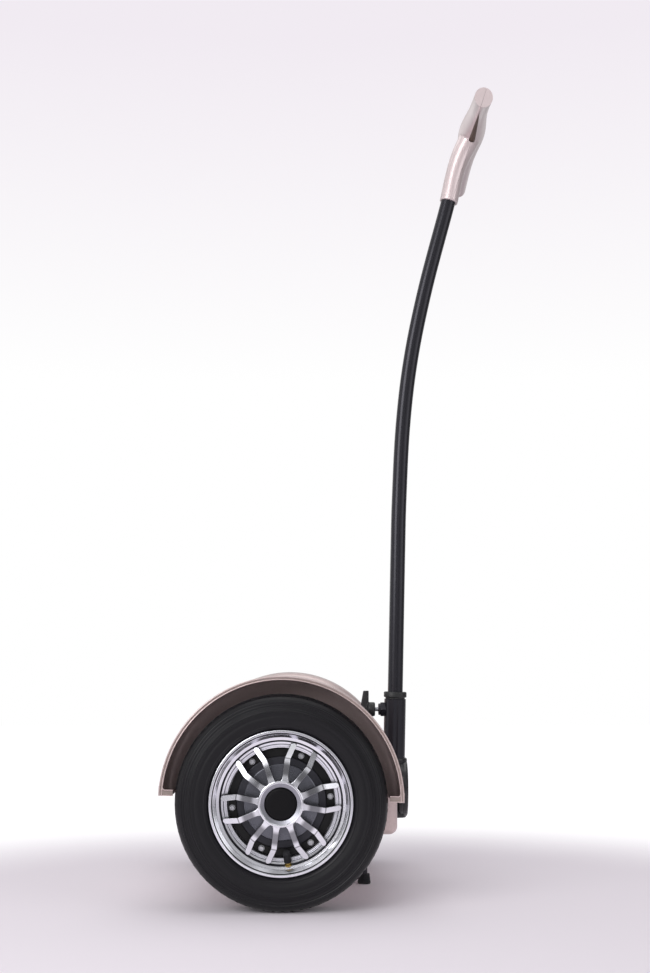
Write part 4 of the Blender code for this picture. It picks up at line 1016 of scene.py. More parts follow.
    def spoke(self, hand: int) -> Shape:
        """One bent spoke, flared where it leaves the hub ring and rounded at its tip.

        Args:
            hand: -1 or 1, the side of its pair.

        Returns:
            The spoke at pair angle 0.
        """
        knees = []
        tops = (self.hub_face - 2, self.hub_face - 8, self.motor_face + 20.3)
        for radius, degrees, top in zip(self.knee_radii, self.knee_degrees, tops):
            angle = math.radians(degrees) * hand
            knees.append(Vector((radius * math.cos(angle), radius * math.sin(angle), top)))
        shares = ((0.0, 0.1, 0.14, 0.19, 0.25, 0.33, 0.45, 0.57, 0.7, 0.83, 0.93, 0.98),
                  (0.0, 0.3, 0.6, 0.8, 0.86, 0.91, 0.95, 0.98, 1.0))
        marks = [(leg, share) for leg in range(2) for share in shares[leg]]
        stations = []
        for leg, share in marks:
            at = knees[leg].lerp(knees[leg + 1], share)
            if leg == 0:
                at.z = knees[0].z + (knees[1].z - knees[0].z) * share ** 1.8
            radius = math.hypot(at.x, at.y)
            past_ring = max(radius - self.ring_outer + 0.5, 0)
            flare = 1 + self.flare_share * math.exp(-past_ring / self.flare_reach)
            before_tip = (knees[2] - at).length
            if before_tip < self.spoke_half:
                flare = math.sqrt(max(1 - (1 - before_tip / self.spoke_half) ** 2, 0.03))
            sideways = Vector((-at.y, at.x, 0)).normalized()
            stations.append(station(at * 0.001, sideways * -1, Z_AXIS, flare))
        half = self.spoke_half
        depth = self.spoke_depth
        outline = [(-half + 0.4, -depth), (half - 0.4, -depth), (half, -depth + 0.6), (half, -0.6),
                   (half - 0.15, -0.2), (half - 0.5, 0.0), (0.5 - half, 0.0), (0.15 - half, -0.2),
                   (-half, -0.6), (-half, -depth + 0.6)]
        bm = sweep(outline, stations)
        for face in bm.faces:
            face.material_index = 0 if face.normal.z > 0.5 else 1
        return bm

    def spoke_face(self) -> None:
        """Milled hub ring with six pairs of spokes, bright on top and painted black on their sides."""
        inner = self.ring_inner
        outer = self.ring_outer
        top = self.hub_face
        ring = turn([
            (inner, top - 30), (inner, top - 3.8), (inner + 0.7, top - 3.1), (inner + 6.6, top - 0.9),
            (inner + 7.4, top - 0.2), (inner + 8.2, top), (outer - 1.6, top - 0.1), (outer - 0.5, top - 0.7),
            (outer, top - 1.9), (outer, top - 30),
        ], self.rim_steps)
        coat_rings(ring, [(1, ANYWHERE, (-FAR, top - 4)), (2, (-FAR, inner + 6.8), ANYWHERE)])
        pairs = [Matrix.Rotation(self.bolt_phase + 2 * math.pi * i / self.bolt_count, 4, "Z")
                 for i in range(self.bolt_count)]
        spokes = copies(merge(self.spoke(-1), self.spoke(1)), pairs)
        # The milled tops carry painted dark reflections across the inner legs and at the knees
        finishes = [BRIGHT_MILLED, WHEEL_BLACK, RIM_SATIN]
        self.fit(merge(ring, spokes), "spoke_face", finishes, ["wheel_face"], sharp=12)

    def motor_cover(self) -> None:
        """Outer motor cover: satin disc, dark ring and black flange, stepped down from the hub."""
        face = self.motor_face
        circle = self.bolt_circle
        bm = turn([
            (0, face + 26), (25.4, face + 26), (25.5, face + 25.6), (25.6, face + 10.5), (26.6, face + 8.8),
            (28.4, face + 8.2), (circle - 20.6, face + 7.2), (circle - 19.6, face + 6.6),
            (circle - 18.9, face + 4.7), (circle - 18.0, face + 4.1), (circle - 8.6, face + 3.6),
            (circle - 7.7, face + 3.1), (circle - 7.1, face + 0.7), (circle - 6.3, face + 0.1),
            (self.motor_radius - 0.6, face), (self.motor_radius, face - 0.6), (self.motor_radius, face - 6),
            (0, face - 6),
        ], self.rim_steps, closed=False)
        coat_rings(bm, [(2, (circle - 7.4, FAR), ANYWHERE), (2, ANYWHERE, (-FAR, face - 1)),
                        (1, (circle - 19.1, FAR), ANYWHERE)])
        self.fit(bm, "motor_cover_disc", [MOTOR_DISC, MOTOR_RING, WHEEL_BLACK], ["motor_outer_cover"],
                 sharp=24)

    def bolts(self) -> None:
        """Six socket-head bolts with washers, which fix the cover and the rotor."""
        head = turn([(0, 0.9), (4.9, 0.9), (5.2, 0.6), (5.2, 0.0), (2.5, 0.0), (2.5, -13.0), (0, -13.0)], 40,
                    closed=False)
        cap = turn([(0, 5.6), (3.4, 5.6), (4.2, 4.9), (4.2, 0.5), (0, 0.5)], 40, closed=False)
        cap = combine("DIFFERENCE", cap, rod(2.3, 4.0, lifted(3.0), 6))
        places = []
        arm = mm(self.bolt_circle)
        for index in range(self.bolt_count):
            angle = self.bolt_phase + 2 * math.pi * index / self.bolt_count
            at = (arm * math.cos(angle), arm * math.sin(angle), mm(self.motor_face + 0.2))
            places.append(Matrix.Translation(at) @ Matrix.Rotation(0.4 * index, 4, "Z"))
        nodes = [f"motor_bolt_{index + 1}" for index in range(self.bolt_count)]
        self.fit(copies(merge(head, cap), places), "cover_screws", [ZINC], nodes, sharp=35)

    def cap(self) -> None:
        """Black cap pressed in the hub ring, slightly crowned."""
        rim = self.ring_inner - 0.3
        top = self.hub_face
        bm = turn([
            (0, top - 1.5), (8, top - 1.6), (15, top - 1.8), (rim - 4.6, top - 2.2), (rim - 2.2, top - 2.6),
            (rim - 0.8, top - 3.4), (rim - 0.1, top - 4.6), (rim, top - 5.4), (rim, top - 13.7),
            (0, top - 13.7),
        ], 96, closed=False)
        self.fit(bm, "hub_centre_cap", [CAP_BLACK], ["hub_cap"], sharp=40)

    def valve(self) -> None:
        """Tyre valve: brass stem and nut at the dish, under a ribbed rubber dust cap."""
        outward = Vector((math.cos(self.valve_angle), math.sin(self.valve_angle), 0))
        seat = (outward * self.valve_circle + Vector((0, 0, self.motor_face + 19))) * 0.001
        lean = Vector((0, 0, math.sin(self.valve_lean))) - outward * math.cos(self.valve_lean)
        place = Matrix.Translation(seat) @ lean.to_track_quat("Z", "Y").to_matrix().to_4x4()
        stem = turn([(0, 9), (4.4, 9), (4.4, 3.4), (5.4, 3.0), (5.8, 0.6), (5.4, 0.0), (0, 0.0)],
                    self.valve_sides, closed=False)
        cap = turn([(0, 28), (3.6, 28), (4.9, 27.2), (5.5, 25.6), (5.6, 24.6), (6.0, 24.0), (6.2, 8.6),
                    (5.8, 7.2), (5.0, 6.6), (0, 6.6)], self.valve_sides, closed=False)
        ribs = []
        step = 2 * math.pi / self.valve_sides
        for face in cap.faces:
            centre = face.calc_center_median()
            index = round(centre.to_2d().angle_signed(X_AXIS.to_2d(), 0) / step - 0.5)
            if mm(9) < centre.z < mm(23.9) and index % 2 == 0:
                ribs.append(face)
        bmesh.ops.inset_region(cap, faces=ribs, thickness=mm(0.15), depth=-mm(0.5))
        self.fit(put(merge(cap, coat(stem, 1)), place), "valve_cap", [SOFT_BLACK, BRASS], ["valve"], sharp=35)


@dataclass
class Fender:
    """Fender over one wheel: domed crown, inboard wall, rolled lip and a plate across each end."""

    side: Side
    radius: float = 202.0
    rise: float = 3.0
    lip_height: float = 26.0
    wall_height: float = -66.7
    skin: float = 2.5
    window: float = 24.0
    fillet: float = 36.0
    cut_front: float = -1.1
    cut_rear: float = 10.5
    plate_inner: float = 180.0
    steps: int = 120

    def build(self) -> None:
        """Make the fender."""
        radius = self.radius
        lip = self.lip_height
        wall = self.wall_height
        skin = self.skin
        quarter = [math.radians(angle) for angle in range(0, 91, 10)]
        outside = [
            (radius - 6.6, lip - 3.4), (radius - 6.7, lip - 1.2), (radius - 6.3, lip - 0.4),
            (radius - 5.6, lip - 0.1), (radius - 4.9, lip - 0.4), (radius - 4.5, lip - 1.5),
            (radius - 2.4, lip - 1.5), (radius - 2.1, lip - 0.3), (radius - 1.3, lip + 0.1),
            (radius - 0.5, lip - 0.3), (radius, lip - 1.4), (radius, lip - 6),
        ]
        outside += [(radius - self.fillet * (1 - math.cos(angle)), wall + self.fillet * (1 - math.sin(angle)))
                    for angle in quarter]
        outside.append((self.window, wall))
        tight = self.fillet - skin
        inside = [(self.window, wall + skin)]
        face_radius = radius - skin
        inside += [(face_radius - tight * (1 - math.cos(angle)), wall + skin + tight * (1 - math.sin(angle)))
                   for angle in reversed(quarter)]
        inside += [(face_radius, lip - 6), (face_radius - 0.4, lip - 3.4), (face_radius - 1.4, lip - 2.7)]
        spare = math.radians(12)
        start = -spare if self.side is Side.RIGHT else math.pi - spare
        bm = turn(outside + inside, self.steps, sweep=math.pi + 2 * spare, start=start)
        # The lip's channel between its beads takes the painted shade
        coat_rings(bm, [(1, (radius - 4.6, radius - 2.3), (lip - 1.8, FAR))])
        fill_holes(bm)
        place = Matrix.Translation(middle(f"{self.side.word}_tyre") + Vector((0, 0, mm(self.rise))))
        put(bm, place @ Matrix.Rotation(-self.side.value * math.pi / 2, 4, "X"))
        slope = math.atan2(self.cut_rear - self.cut_front, 2 * radius)
        centre = spot(0, 0, (self.cut_rear + self.cut_front) / 2)
        upwards = Vector((math.sin(slope), 0, math.cos(slope)))
        bmesh.ops.bisect_plane(bm, geom=[*bm.verts, *bm.edges, *bm.faces], plane_co=centre, plane_no=upwards,
                               clear_inner=True)
        fill_holes(bm)
        hub_y = self.side.value * middle("left_tyre").y
        low, high = sorted(hub_y + mm(self.side.value * depth) for depth in (wall + skin / 2, lip - 3))
        for end in (-1, 1):
            near, far = sorted((end * mm(self.plate_inner), end * mm(radius - skin / 2)))
            plate = block((near, low, 0), (far, high, mm(skin)))
            round_edges(plate, plate.edges, 0.8, 2)
            merge(plate, self.end_strip(end, hub_y))
            merge(bm, put(plate, Matrix.Translation(centre) @ Matrix.Rotation(slope, 4, "Y")))
        settle(bm, f"{self.side.word}_fender_skin", Body.CHASSIS, [CHAMPAGNE, PAINTED_LIP_SHADE],
               [f"{self.side.word}_fender"], sharp=28)

    def end_strip(self, end: int, hub_y: float) -> Shape:
        """Strip along the foot of one end, in line with the lip, with a bead that turns the inner corner.

        Args:
            end: -1 for the rear end, 1 for the front one.
            hub_y: Y of the wheel's middle plane.

        Returns:
            The strip, standing on the end's cut.
        """
        reach = self.radius - 6.4
        low = self.plate_inner - 2
        tall = 9.5
        corner = 5.0
        bend = [math.radians(angle) for angle in range(0, 91, 15)]
        arc = [(reach - corner * (1 - math.cos(angle)), tall + corner * (1 - math.sin(angle)))
               for angle in bend]
        corners = [(low, 0), (self.radius - 1.5, 0), (self.radius - 2.3, 20), (reach, 20), *arc, (low, tall)]
        outline = [(end * x, z) for x, z in corners]
        side = self.side.value
        out = Vector((0, side, 0))
        depths = (self.lip_height - 3.2, self.lip_height - 1.4)
        # The strip takes the lip's painted shade, while its beads keep the lacquer
        strip = coat(sweep(outline, [station(Vector((0, hub_y + mm(depth) * side, 0)), X_AXIS, Z_AXIS)
                                     for depth in depths]), 1)
        ring = oval(10, 0.95, 0.95)
        foot = self.radius - 1.2
        turned = [(foot - corner * 0.6 * (1 - math.cos(angle)), 1.0 + corner * 0.6 * (1 - math.sin(angle)))
                  for angle in bend]
        for path in ([(reach + 0.4, 30), (reach, 22), *arc, (low, tall)], [(foot, 16), *turned, (low, 1.0)]):
            points = [Vector((end * mm(x), hub_y + mm(self.lip_height - 1.0) * side, mm(z))) for x, z in path]
            merge(strip, sweep(ring, [station(at, way.cross(out), out)
                                      for at, way in zip(points, directions(points))]))
        return strip


@dataclass
class Platform:
    """Body between the wheels: painted skin, footboard, foot mats, power button and charge cap."""

    rear: float = -165.0
    front: float = 195.0
    half: float = 205.0
    bottom: float = -64.0
    top: float = 21.0
    corner: float = 14.0
    skin: float = 3.0
    frame_front: float = 165.3
    notch_half: float = 60.0
    slot_x: float = 143.0
    slot_half: Point = (12.0, 15.0)
    slot_top: float = -60.7
    window_radius: float = 14.0
    deck_top: float = 29.3
    mat_length: float = 250.0
    mat_width: float = 150.0
    mat_top: float = 33.6
    mat_spacing: float = 190.0
    mat_corner: float = 10.0
    mat_border: float = 6.0
    mat_sink: float = 1.8
    rib_inset: float = 8.5
    rib_pitch: float = 9.6
    button_x: float = 145.0
    button_hole: float = 9.3
    screw_inset: float = 12.0
    cap_y: float = -90.0
    port_radius: float = 10.8

    def build(self) -> None:
        """Make every piece of the platform."""
        self.body_skin()
        self.deck()
        self.deck_screws()
        for side in Side:
            self.mat(side)
        self.button()
        self.charge_cap()
        self.charge_port()
        dress("chassis_frame", CAST_GREY)
        dress("battery_pack", SLEEVE_BLUE)
        dress("controller_unit", CAST_GREY)

    def notch(self, low: float, high: float) -> Shape:
        """Cutter for the gap in which the stem leans, between two heights."""
        return block(spot(self.frame_front, -self.notch_half, low),
                     spot(self.front + 30, self.notch_half, high))

    def body_skin(self) -> None:
        """Painted skin with rounded edges, open on top."""
        outer = block(spot(self.rear, -self.half, self.bottom),
                      spot(self.front, self.half, self.top + self.corner))
        round_edges(outer, outer.edges, self.corner, 7)
        wall = self.skin
        inner = block(spot(self.rear + wall, -self.half + wall, self.bottom + wall),
                      spot(self.front - wall, self.half - wall, self.top + 2 * self.corner))
        round_edges(inner, inner.edges, self.corner - wall, 5)
        lid = block(spot(self.rear - 9, -self.half - 9, self.top),
                    spot(self.front + 9, self.half + 9, self.top + 60))
        deep, wide = self.slot_half
        leg_slot = block(spot(self.slot_x - deep, -wide, self.bottom - 9),
                         spot(self.slot_x + deep, wide, self.slot_top))
        windows = rod(self.window_radius, 2 * self.half + 60, Matrix.Translation(spot(0, -self.half - 30, 0))
                      @ Matrix.Rotation(-math.pi / 2, 4, "X"), 40)
        port = rod(self.port_radius, 20, self.port_place() @ lifted(-10))
        notch = self.notch(self.bottom - 9, self.top + 40)
        bm = combine("DIFFERENCE", outer, inner, lid, notch, leg_slot, windows, port)
        settle(bm, "body_skin", Body.CHASSIS, [CHAMPAGNE], ["body_shell"], sharp=24, bevel=0.5)

    def deck(self) -> None:
        """Footboard plate with rounded edges, the button's hole and the stem's notch."""
        low = self.top + 0.3
        plate = block(spot(self.rear + 1, -self.half + 1, low),
                      spot(self.front - 1, self.half - 1, self.deck_top))
        round_edges(plate, upright_edges(plate), self.corner, 6)
        hole = rod(self.button_hole, 40, Matrix.Translation(spot(self.button_x, 0, low - 10)), 40)
        bm = combine("DIFFERENCE", plate, hole, self.notch(low - 20, self.deck_top + 20))
        settle(bm, "footboard_plate", Body.CHASSIS, [DECK_BLACK], ["footboard"], sharp=24, bevel=1.6)

    def deck_screws(self) -> None:
        """Countersunk screws that hold the footboard to the tray."""
        head = turn([(0, 0.35), (3.8, 0.35), (4.3, 0.1), (4.3, -1.0), (0, -1.0)], 32, closed=False)
        head = combine("DIFFERENCE", head, rod(2.0, 3.0, lifted(-0.7), 6))
        inset = self.screw_inset
        spots = [(x, y) for x in (self.rear + inset, self.front - inset) for y in (-190, -100, 100, 190)]
        spots += [(x, y) for y in (-194, 194) for x in (-70, 50, 120)]
        places = [Matrix.Translation(spot(x, y, self.deck_top)) for x, y in spots]
        settle(copies(head, places), "footboard_screws", Body.CHASSIS, [ZINC], sharp=35)

    def mat(self, side: Side) -> None:
        """Rubber foot mat: a raised border round rows of half-round ribs."""
        y = side.value * self.mat_spacing / 2
        low = self.deck_top + 0.3
        half_length = self.mat_length / 2
        half_width = self.mat_width / 2
        base = block(spot(-half_length, y - half_width, low), spot(half_length, y + half_width, self.mat_top))
        round_edges(base, upright_edges(base), self.mat_corner, 6)
        lid = [face for face in base.faces if face.normal.z > 0.9]
        bmesh.ops.inset_region(base, faces=lid, thickness=mm(self.mat_border), depth=0)
        bmesh.ops.inset_region(base, faces=lid, thickness=mm(0.8), depth=-mm(self.mat_sink))
        rib = [(-2.6, -2.4), (2.6, -2.4), (2.3, -1.0), (1.5, -0.25), (0.0, 0.0), (-1.5, -0.25), (-2.3, -1.0)]
        count = int((self.mat_length - 22) / self.rib_pitch)
        start = -self.rib_pitch * (count - 1) / 2
        ends = (y - half_width + self.rib_inset, y + half_width - self.rib_inset)
        for index in range(count):
            x = start + index * self.rib_pitch
            merge(base, sweep(rib, [station(spot(x, end, self.mat_top), X_AXIS, Z_AXIS) for end in ends]))
        settle(base, f"{side.word}_ribbed_mat", Body.CHASSIS, [SOFT_BLACK], [f"{side.word}_foot_mat"],
               sharp=30, bevel=0.3)

    def button(self) -> None:
        """Power button: a turned cap with a dished top."""
        bm = turn([(0, 2.1), (4.5, 2.2), (6.2, 2.7), (7.0, 3.0), (8.2, 2.9), (9.0, 2.1), (9.0, -5.0),
                   (0, -5.0)], 64, closed=False)
        put(bm, Matrix.Translation(spot(self.button_x, 0, self.deck_top)))
        settle(bm, "power_button_cap", Body.BUTTON, [BRIGHT_MILLED], ["power_button"], sharp=40)

    def port_place(self) -> Matrix:
        """Middle of the charge port on the skin's rear, with its Z backwards."""
        centre = (spot(self.rear, 0, 0).x, mm(self.cap_y), middle("charge_port_cap").z)
        return Matrix.Translation(centre) @ Z_BACKWARDS

    def charge_port(self) -> None:
        """Three-pin charge socket, sunk in the skin under its flap."""
        rim = self.port_radius - 0.1
        bm = turn([(0, -8), (7.6, -8), (7.8, -7.8), (7.8, -1.2), (8.4, -0.5), (rim - 0.4, -0.4), (rim, -0.8),
                   (rim, -9.5), (0, -9.5)], 64, closed=False)
        for angle in (0, 120, 240):
            arm = Vector((mm(4.2), 0, mm(-8.5)))
            arm.rotate(Matrix.Rotation(math.radians(angle), 3, "Z"))
            merge(bm, coat(rod(1.1, 5.5, Matrix.Translation(arm), 20), 1))
        settle(put(bm, self.port_place()), "charge_port_socket", Body.CHASSIS, [NYLON, BRASS], sharp=35)

    def charge_cap(self) -> None:
        """Rubber flap over the charge port, with a finger tab at its foot."""
        bm = turn([(0, 3.4), (9.4, 3.4), (10.2, 3.8), (12.8, 3.9), (13.9, 3.3), (14.4, 2.2), (14.6, 0.0),
                   (0, 0.0)], 64, closed=False)
        tab = block((mm(-16.5), mm(-4), mm(0.4)), (mm(-11), mm(4), mm(2.6)))
        round_edges(tab, tab.edges, 0.8, 2)
        merge(bm, tab)
        seat = (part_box("charge_port_cap")[1].x, mm(self.cap_y), middle("charge_port_cap").z)
        put(bm, Matrix.Translation(seat) @ Z_BACKWARDS)
        settle(bm, "charge_port_flap", Body.CHARGE_CAP, [SOFT_BLACK], ["charge_port_cap"], sharp=35)


@dataclass
class Stand:
    """Parking stand: leg, pin and ribbed rubber foot."""

    x: float = 143.0
    pivot_z: float = -77.0
    leg_half: Point = (6.0, 8.0)
    floor_z: float = -175.0

    def build(self) -> None:
        """Make every piece of the stand."""
        deep, wide = self.leg_half
        leg = block(spot(self.x - deep, -wide, self.floor_z + 10),
                    spot(self.x + deep, wide, self.pivot_z + deep))
        round_edges(leg, leg.edges, 2.2, 4)
        settle(leg, "stand_leg_bar", Body.STAND, [ANODISED], ["stand_leg"], sharp=40)
        foot = turn([
            (0, 18.0), (9.2, 18.0), (10.0, 17.6), (10.4, 16.6), (10.6, 14.4), (10.0, 13.8), (10.7, 13.2),
            (11.0, 10.6), (10.4, 10.0), (11.1, 9.4), (11.4, 6.8), (10.8, 6.2), (11.5, 5.6), (12.0, 3.0),
            (11.8, 1.0), (11.0, 0.0), (0, 0.0),
        ], 72, closed=False)
        put(foot, Matrix.Translation(spot(self.x, 0, self.floor_z)))
        settle(foot, "stand_foot_boot", Body.STAND, [SOFT_BLACK], ["stand_foot"], sharp=40)
        dress("stand_pin", ZINC)


def grown(half: Point, by: float) -> Point:
    """Half sizes of a section with a gap added round it."""
    return (half[0] + by, half[1] + by)


@dataclass
class Stem:
    """Stem: socket casting, outer tube, collar and the bent inner tube that slides."""

    foot_x: float = 201.8
    foot_z: float = 163.0
    tilt: float = math.radians(1.4)
    lean_z: float = -3.0
    inner_half: Point = (13.9, 16.0)
    inner_wall: float = 2.0
    outer_half: Point = (19.9, 22.0)
    outer_wall: float = 3.0
    collar_half: Point = (21.0, 24.0)
    collar_top: float = 172.0
    collar_height: float = 10.0
    neck: float = 3.0
    tube_low: float = -47.0
    socket_top: float = 52.0
    inner_low: float = 65.0
    bend_start: float = 425.0
    bend: Sequence[Point] = ((211.3, 527.5), (219.3, 670), (235.4, 801), (264.6, 940.4), (307, 1099),
                             (321.5, 1158))
    clamp_z: float = 140.0

    def point(self, height: float) -> Vector:
        """Centre of the stem's straight part at a height above the axle."""
        return spot(self.foot_x + (height - self.foot_z) * math.tan(self.tilt), 0, height)

    def section(self, half: Point, power: float = 2.5, groove: tuple[float, float, float] = (0.0, 0.0, 0.0)
                ) -> list[Point]:
        """Section of a tube: an oval with flattened sides, and a groove along each side.

        Args:
            half: half its depth and half its width.
            power: 2 is an ellipse, and more is squarer.
            groove: where the groove lies across the depth, half its width, and its depth.

        Returns:
            The outline, starting at the front.
        """
        at, reach, sunk = groove
        marks = {half[0] * math.cos(math.pi * i / 32) for i in range(33)}
        if sunk:
            marks = {mark for mark in marks if abs(mark - at) > reach + 0.2}
            marks |= {at - reach, at - reach * 0.7, at + reach * 0.7, at + reach}
        upper = []
        for x in sorted(marks, reverse=True):
            y = half[1] * max(1 - abs(x / half[0]) ** power, 0) ** (1 / power)
            upper.append((x, y - sunk if sunk and abs(x - at) < reach * 0.8 else y))
        return upper + [(x, -y) for x, y in reversed(upper[1:-1])]

    def behind(self, gap: float) -> Matrix:
        """Place a gap behind the outer tube's back at the clamp's height, with its Z forwards."""
        back = self.point(self.clamp_z) + Vector((-mm(self.outer_half[0] + gap), 0, 0))
        return Matrix.Translation(back) @ Z_FORWARDS

    def straight(self, stations: Sequence[tuple[float, float, float]]) -> list[Matrix]:
        """Stations on the straight part, from (height, wide, tall) scales."""
        across = Vector((math.cos(self.tilt), 0, -math.sin(self.tilt)))
        return [station(self.point(height), across, Y_AXIS, wide, tall) for height, wide, tall in stations]

    def path(self, low: float) -> list[Vector]:
        """Centre line of the inner tube from a height on its straight part to its top."""
        knees = [self.point(self.bend_start)] + [spot(x, 0, z) for x, z in self.bend]
        straight = [self.point(low + (self.bend_start - low) * i / 6) for i in range(6)]
        return straight + smooth_points(knees, 8)

    def build(self) -> None:
        """Make every piece of the stem."""
        self.socket()
        self.outer_tube()
        self.collar()
        self.inner_tube()
        dress("lean_pin", STEEL)

    def socket(self) -> None:
        """Cast socket: an oval sleeve, the round front face with its step, and the hub round the lean pin."""
        sleeve = sweep(self.section(grown(self.outer_half, 4)), self.straight([
            (self.tube_low - 8, 1, 1), (self.socket_top - 2, 1, 1), (self.socket_top, 0.95, 0.955)]))
        forward = Matrix.Translation(spot(0, 0, self.lean_z)) @ Z_FORWARDS
        disc = turn(soften([
            (0, 221.6), (30, 221.6), (31.2, 222.6), (48.5, 222.6), (51.6, 220.4), (52, 214.5), (51.4, 213.6),
            (51.4, 212.2), (52, 211.4), (51.4, 207), (49.5, 205), (0, 205),
        ], 0.9), 96, closed=False)
        hub = turn([(0, 168.3), (32.5, 168.3), (34, 169.8), (34, 201), (0, 201)], 72, closed=False)
        skin = combine("UNION", melt(merge(sleeve, put(hub, forward)), 1.3, 4), put(disc, forward))
        bore = sweep(self.section(grown(self.outer_half, 0.4)),
                     self.straight([(self.tube_low - 0.3, 1, 1), (self.socket_top + 20, 1, 1)]))
        pin = rod(8.3, 50, forward @ lifted(140), 40)
        settle(combine("DIFFERENCE", skin, bore, pin), "socket_casting", Body.STEM, [POWDER_BLACK],
               ["stem_socket"], sharp=35)

    def outer_tube(self) -> None:
        """Outer tube with a shallow flat down each side, and the clamp's boss on its back."""
        top = self.collar_top - self.collar_height - self.neck
        flat = self.section(self.outer_half, groove=(1.0, 4.2, 0.7))
        tube = sweep(flat, self.straight([(self.tube_low, 1, 1), (top - 0.5, 1, 1), (top, 0.98, 0.982)]))
        nut = rod(14.4, 14, self.behind(7.0), 6)
        round_edges(nut, nut.edges, 0.8, 2)
        nose = turn([(0, 0), (9.6, 0), (10.6, 1.0), (10.6, 18), (0, 18)], 48, closed=False)
        solid = combine("UNION", tube, nut, put(nose, self.behind(11.0)))
        hollow = sweep(self.section(grown(self.outer_half, -self.outer_wall)),
                       self.straight([(self.tube_low - 9, 1, 1), (top + 9, 1, 1)]))
        bore = rod(4.3, 40, self.behind(20.0), 32)
        settle(combine("DIFFERENCE", solid, hollow, bore), "outer_tube_extrusion", Body.STEM, [ANODISED],
               ["outer_stem_tube"], sharp=28)

    def collar(self) -> None:
        """Nylon bush in the outer tube's mouth, with a narrow neck under its collar."""
        low = self.collar_top - self.collar_height
        tube_top = low - self.neck
        bush = self.outer_half[0] - self.outer_wall - 0.3
        full = self.collar_half[0]
        neck = bush + 1.3
        outline = self.section(self.collar_half)
        levels = [
            (tube_top - 9, bush), (tube_top + 0.3, bush), (tube_top + 0.3, neck), (low, neck),
            (low, full - 0.9),
            (low + 0.9, full), (self.collar_top - 1.6, full), (self.collar_top - 0.5, full - 0.5),
            (self.collar_top, full - 1.6),
        ]
        scale = [(z, r / full, (self.collar_half[1] - (full - r)) / self.collar_half[1]) for z, r in levels]
        solid = sweep(outline, self.straight(scale))
        slide = sweep(self.section(grown(self.inner_half, 0.3)),
                      self.straight([(tube_top - 20, 1, 1), (self.collar_top + 20, 1, 1)]))
        settle(combine("DIFFERENCE", solid, slide), "stem_collar", Body.STEM, [NYLON], ["stem_bush"],
               sharp=30)

    def inner_tube(self) -> None:
        """Bent inner tube with a fine groove along each side."""
        stations = path_stations(self.path(self.inner_low))
        outer = sweep(self.section(self.inner_half, groove=(2.1, 0.9, 0.6)), stations)
        inner = sweep(self.section(grown(self.inner_half, -self.inner_wall)),
                      [stations[0] @ lifted(-5), *stations[1:-1], stations[-1] @ lifted(5)])
        settle(combine("DIFFERENCE", outer, inner), "inner_tube_extrusion", Body.SLIDER, [ANODISED],
               ["inner_stem_tube"], sharp=28)


@dataclass
class Clamp:
    """Wing knob and its screw, behind the outer tube."""

    hub_radius: float = 13.0
    hub_length: float = 12.0
    wing: Sequence[tuple[float, float, float]] = (
        (34, 9.2, 0.8), (33, 10.2, 0.95), (8, 14.8, 1.0), (0, 16.0, 1.1))
    thread_pitch: float = 1.25
    thread_radius: float = 3.95
    thread_depth: float = 0.5

    def build(self) -> None:
        """Make the knob and the screw."""
        height = middle("clamp_screw").z
        self.knob(height)
        self.screw(height)

    def knob(self, height: float) -> None:
        """Hub and two wings, blended in one moulding.

        Args:
            height: of the screw's axis over the floor, in metres.
        """
        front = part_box("clamp_knob")[1].x
        backwards = Matrix.Translation((front, 0, height)) @ Z_BACKWARDS
        length = self.hub_length
        hub = turn(soften([
            (0, 0.3), (11.2, 0.3), (self.hub_radius, 1.6), (self.hub_radius, length), (9, length + 3),
            (0, length + 4),
        ], 1.4), 64, closed=False)
        outline = soften([(-1, -3.8), (0, -4.6), (0, 4.6), (-1, 3.8)], 0.8, closed=True)
        rows = [(-tall, reach, thick) for tall, reach, thick in self.wing[:-1]] + list(reversed(self.wing))
        wings = sweep(outline, [
            station(Vector((front - mm(length), 0, height + mm(tall))), X_AXIS, -Y_AXIS, reach, thick)
            for tall, reach, thick in rows])
        solid = melt(merge(put(hub, backwards), wings), 0.7, 5)
        hole = rod(4.3, 8.3, backwards @ lifted(-1), 32)
        settle(combine("DIFFERENCE", solid, hole), "clamp_wing_knob", Body.CLAMP, [NYLON], ["clamp_knob"],
               sharp=50)

    def screw(self, height: float) -> None:
        """Stud with a thread, drawn as rings at its pitch.

        Args:
            height: of its axis over the floor, in metres.
        """
        low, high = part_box("clamp_screw")
        length = (high.x - low.x) * 1000
        crest = self.thread_radius
        root = crest - self.thread_depth
        thread = [(0, 0), (3.2, 0), (3.9, 0.7)]
        for index in range(int((length - 2) / self.thread_pitch)):
            at = 0.9 + index * self.thread_pitch
            thread += [(crest, at + 0.1), (root, at + 0.5), (root, at + 0.7), (crest, at + 1.1)]
        thread += [(3.9, length - 0.6), (3.3, length), (0, length)]
        stud = put(turn(thread, 40, closed=False), Matrix.Translation((low.x, 0, height)) @ Z_FORWARDS)
        settle(stud, "clamp_stud", Body.CLAMP, [ZINC], ["clamp_screw"], sharp=30)


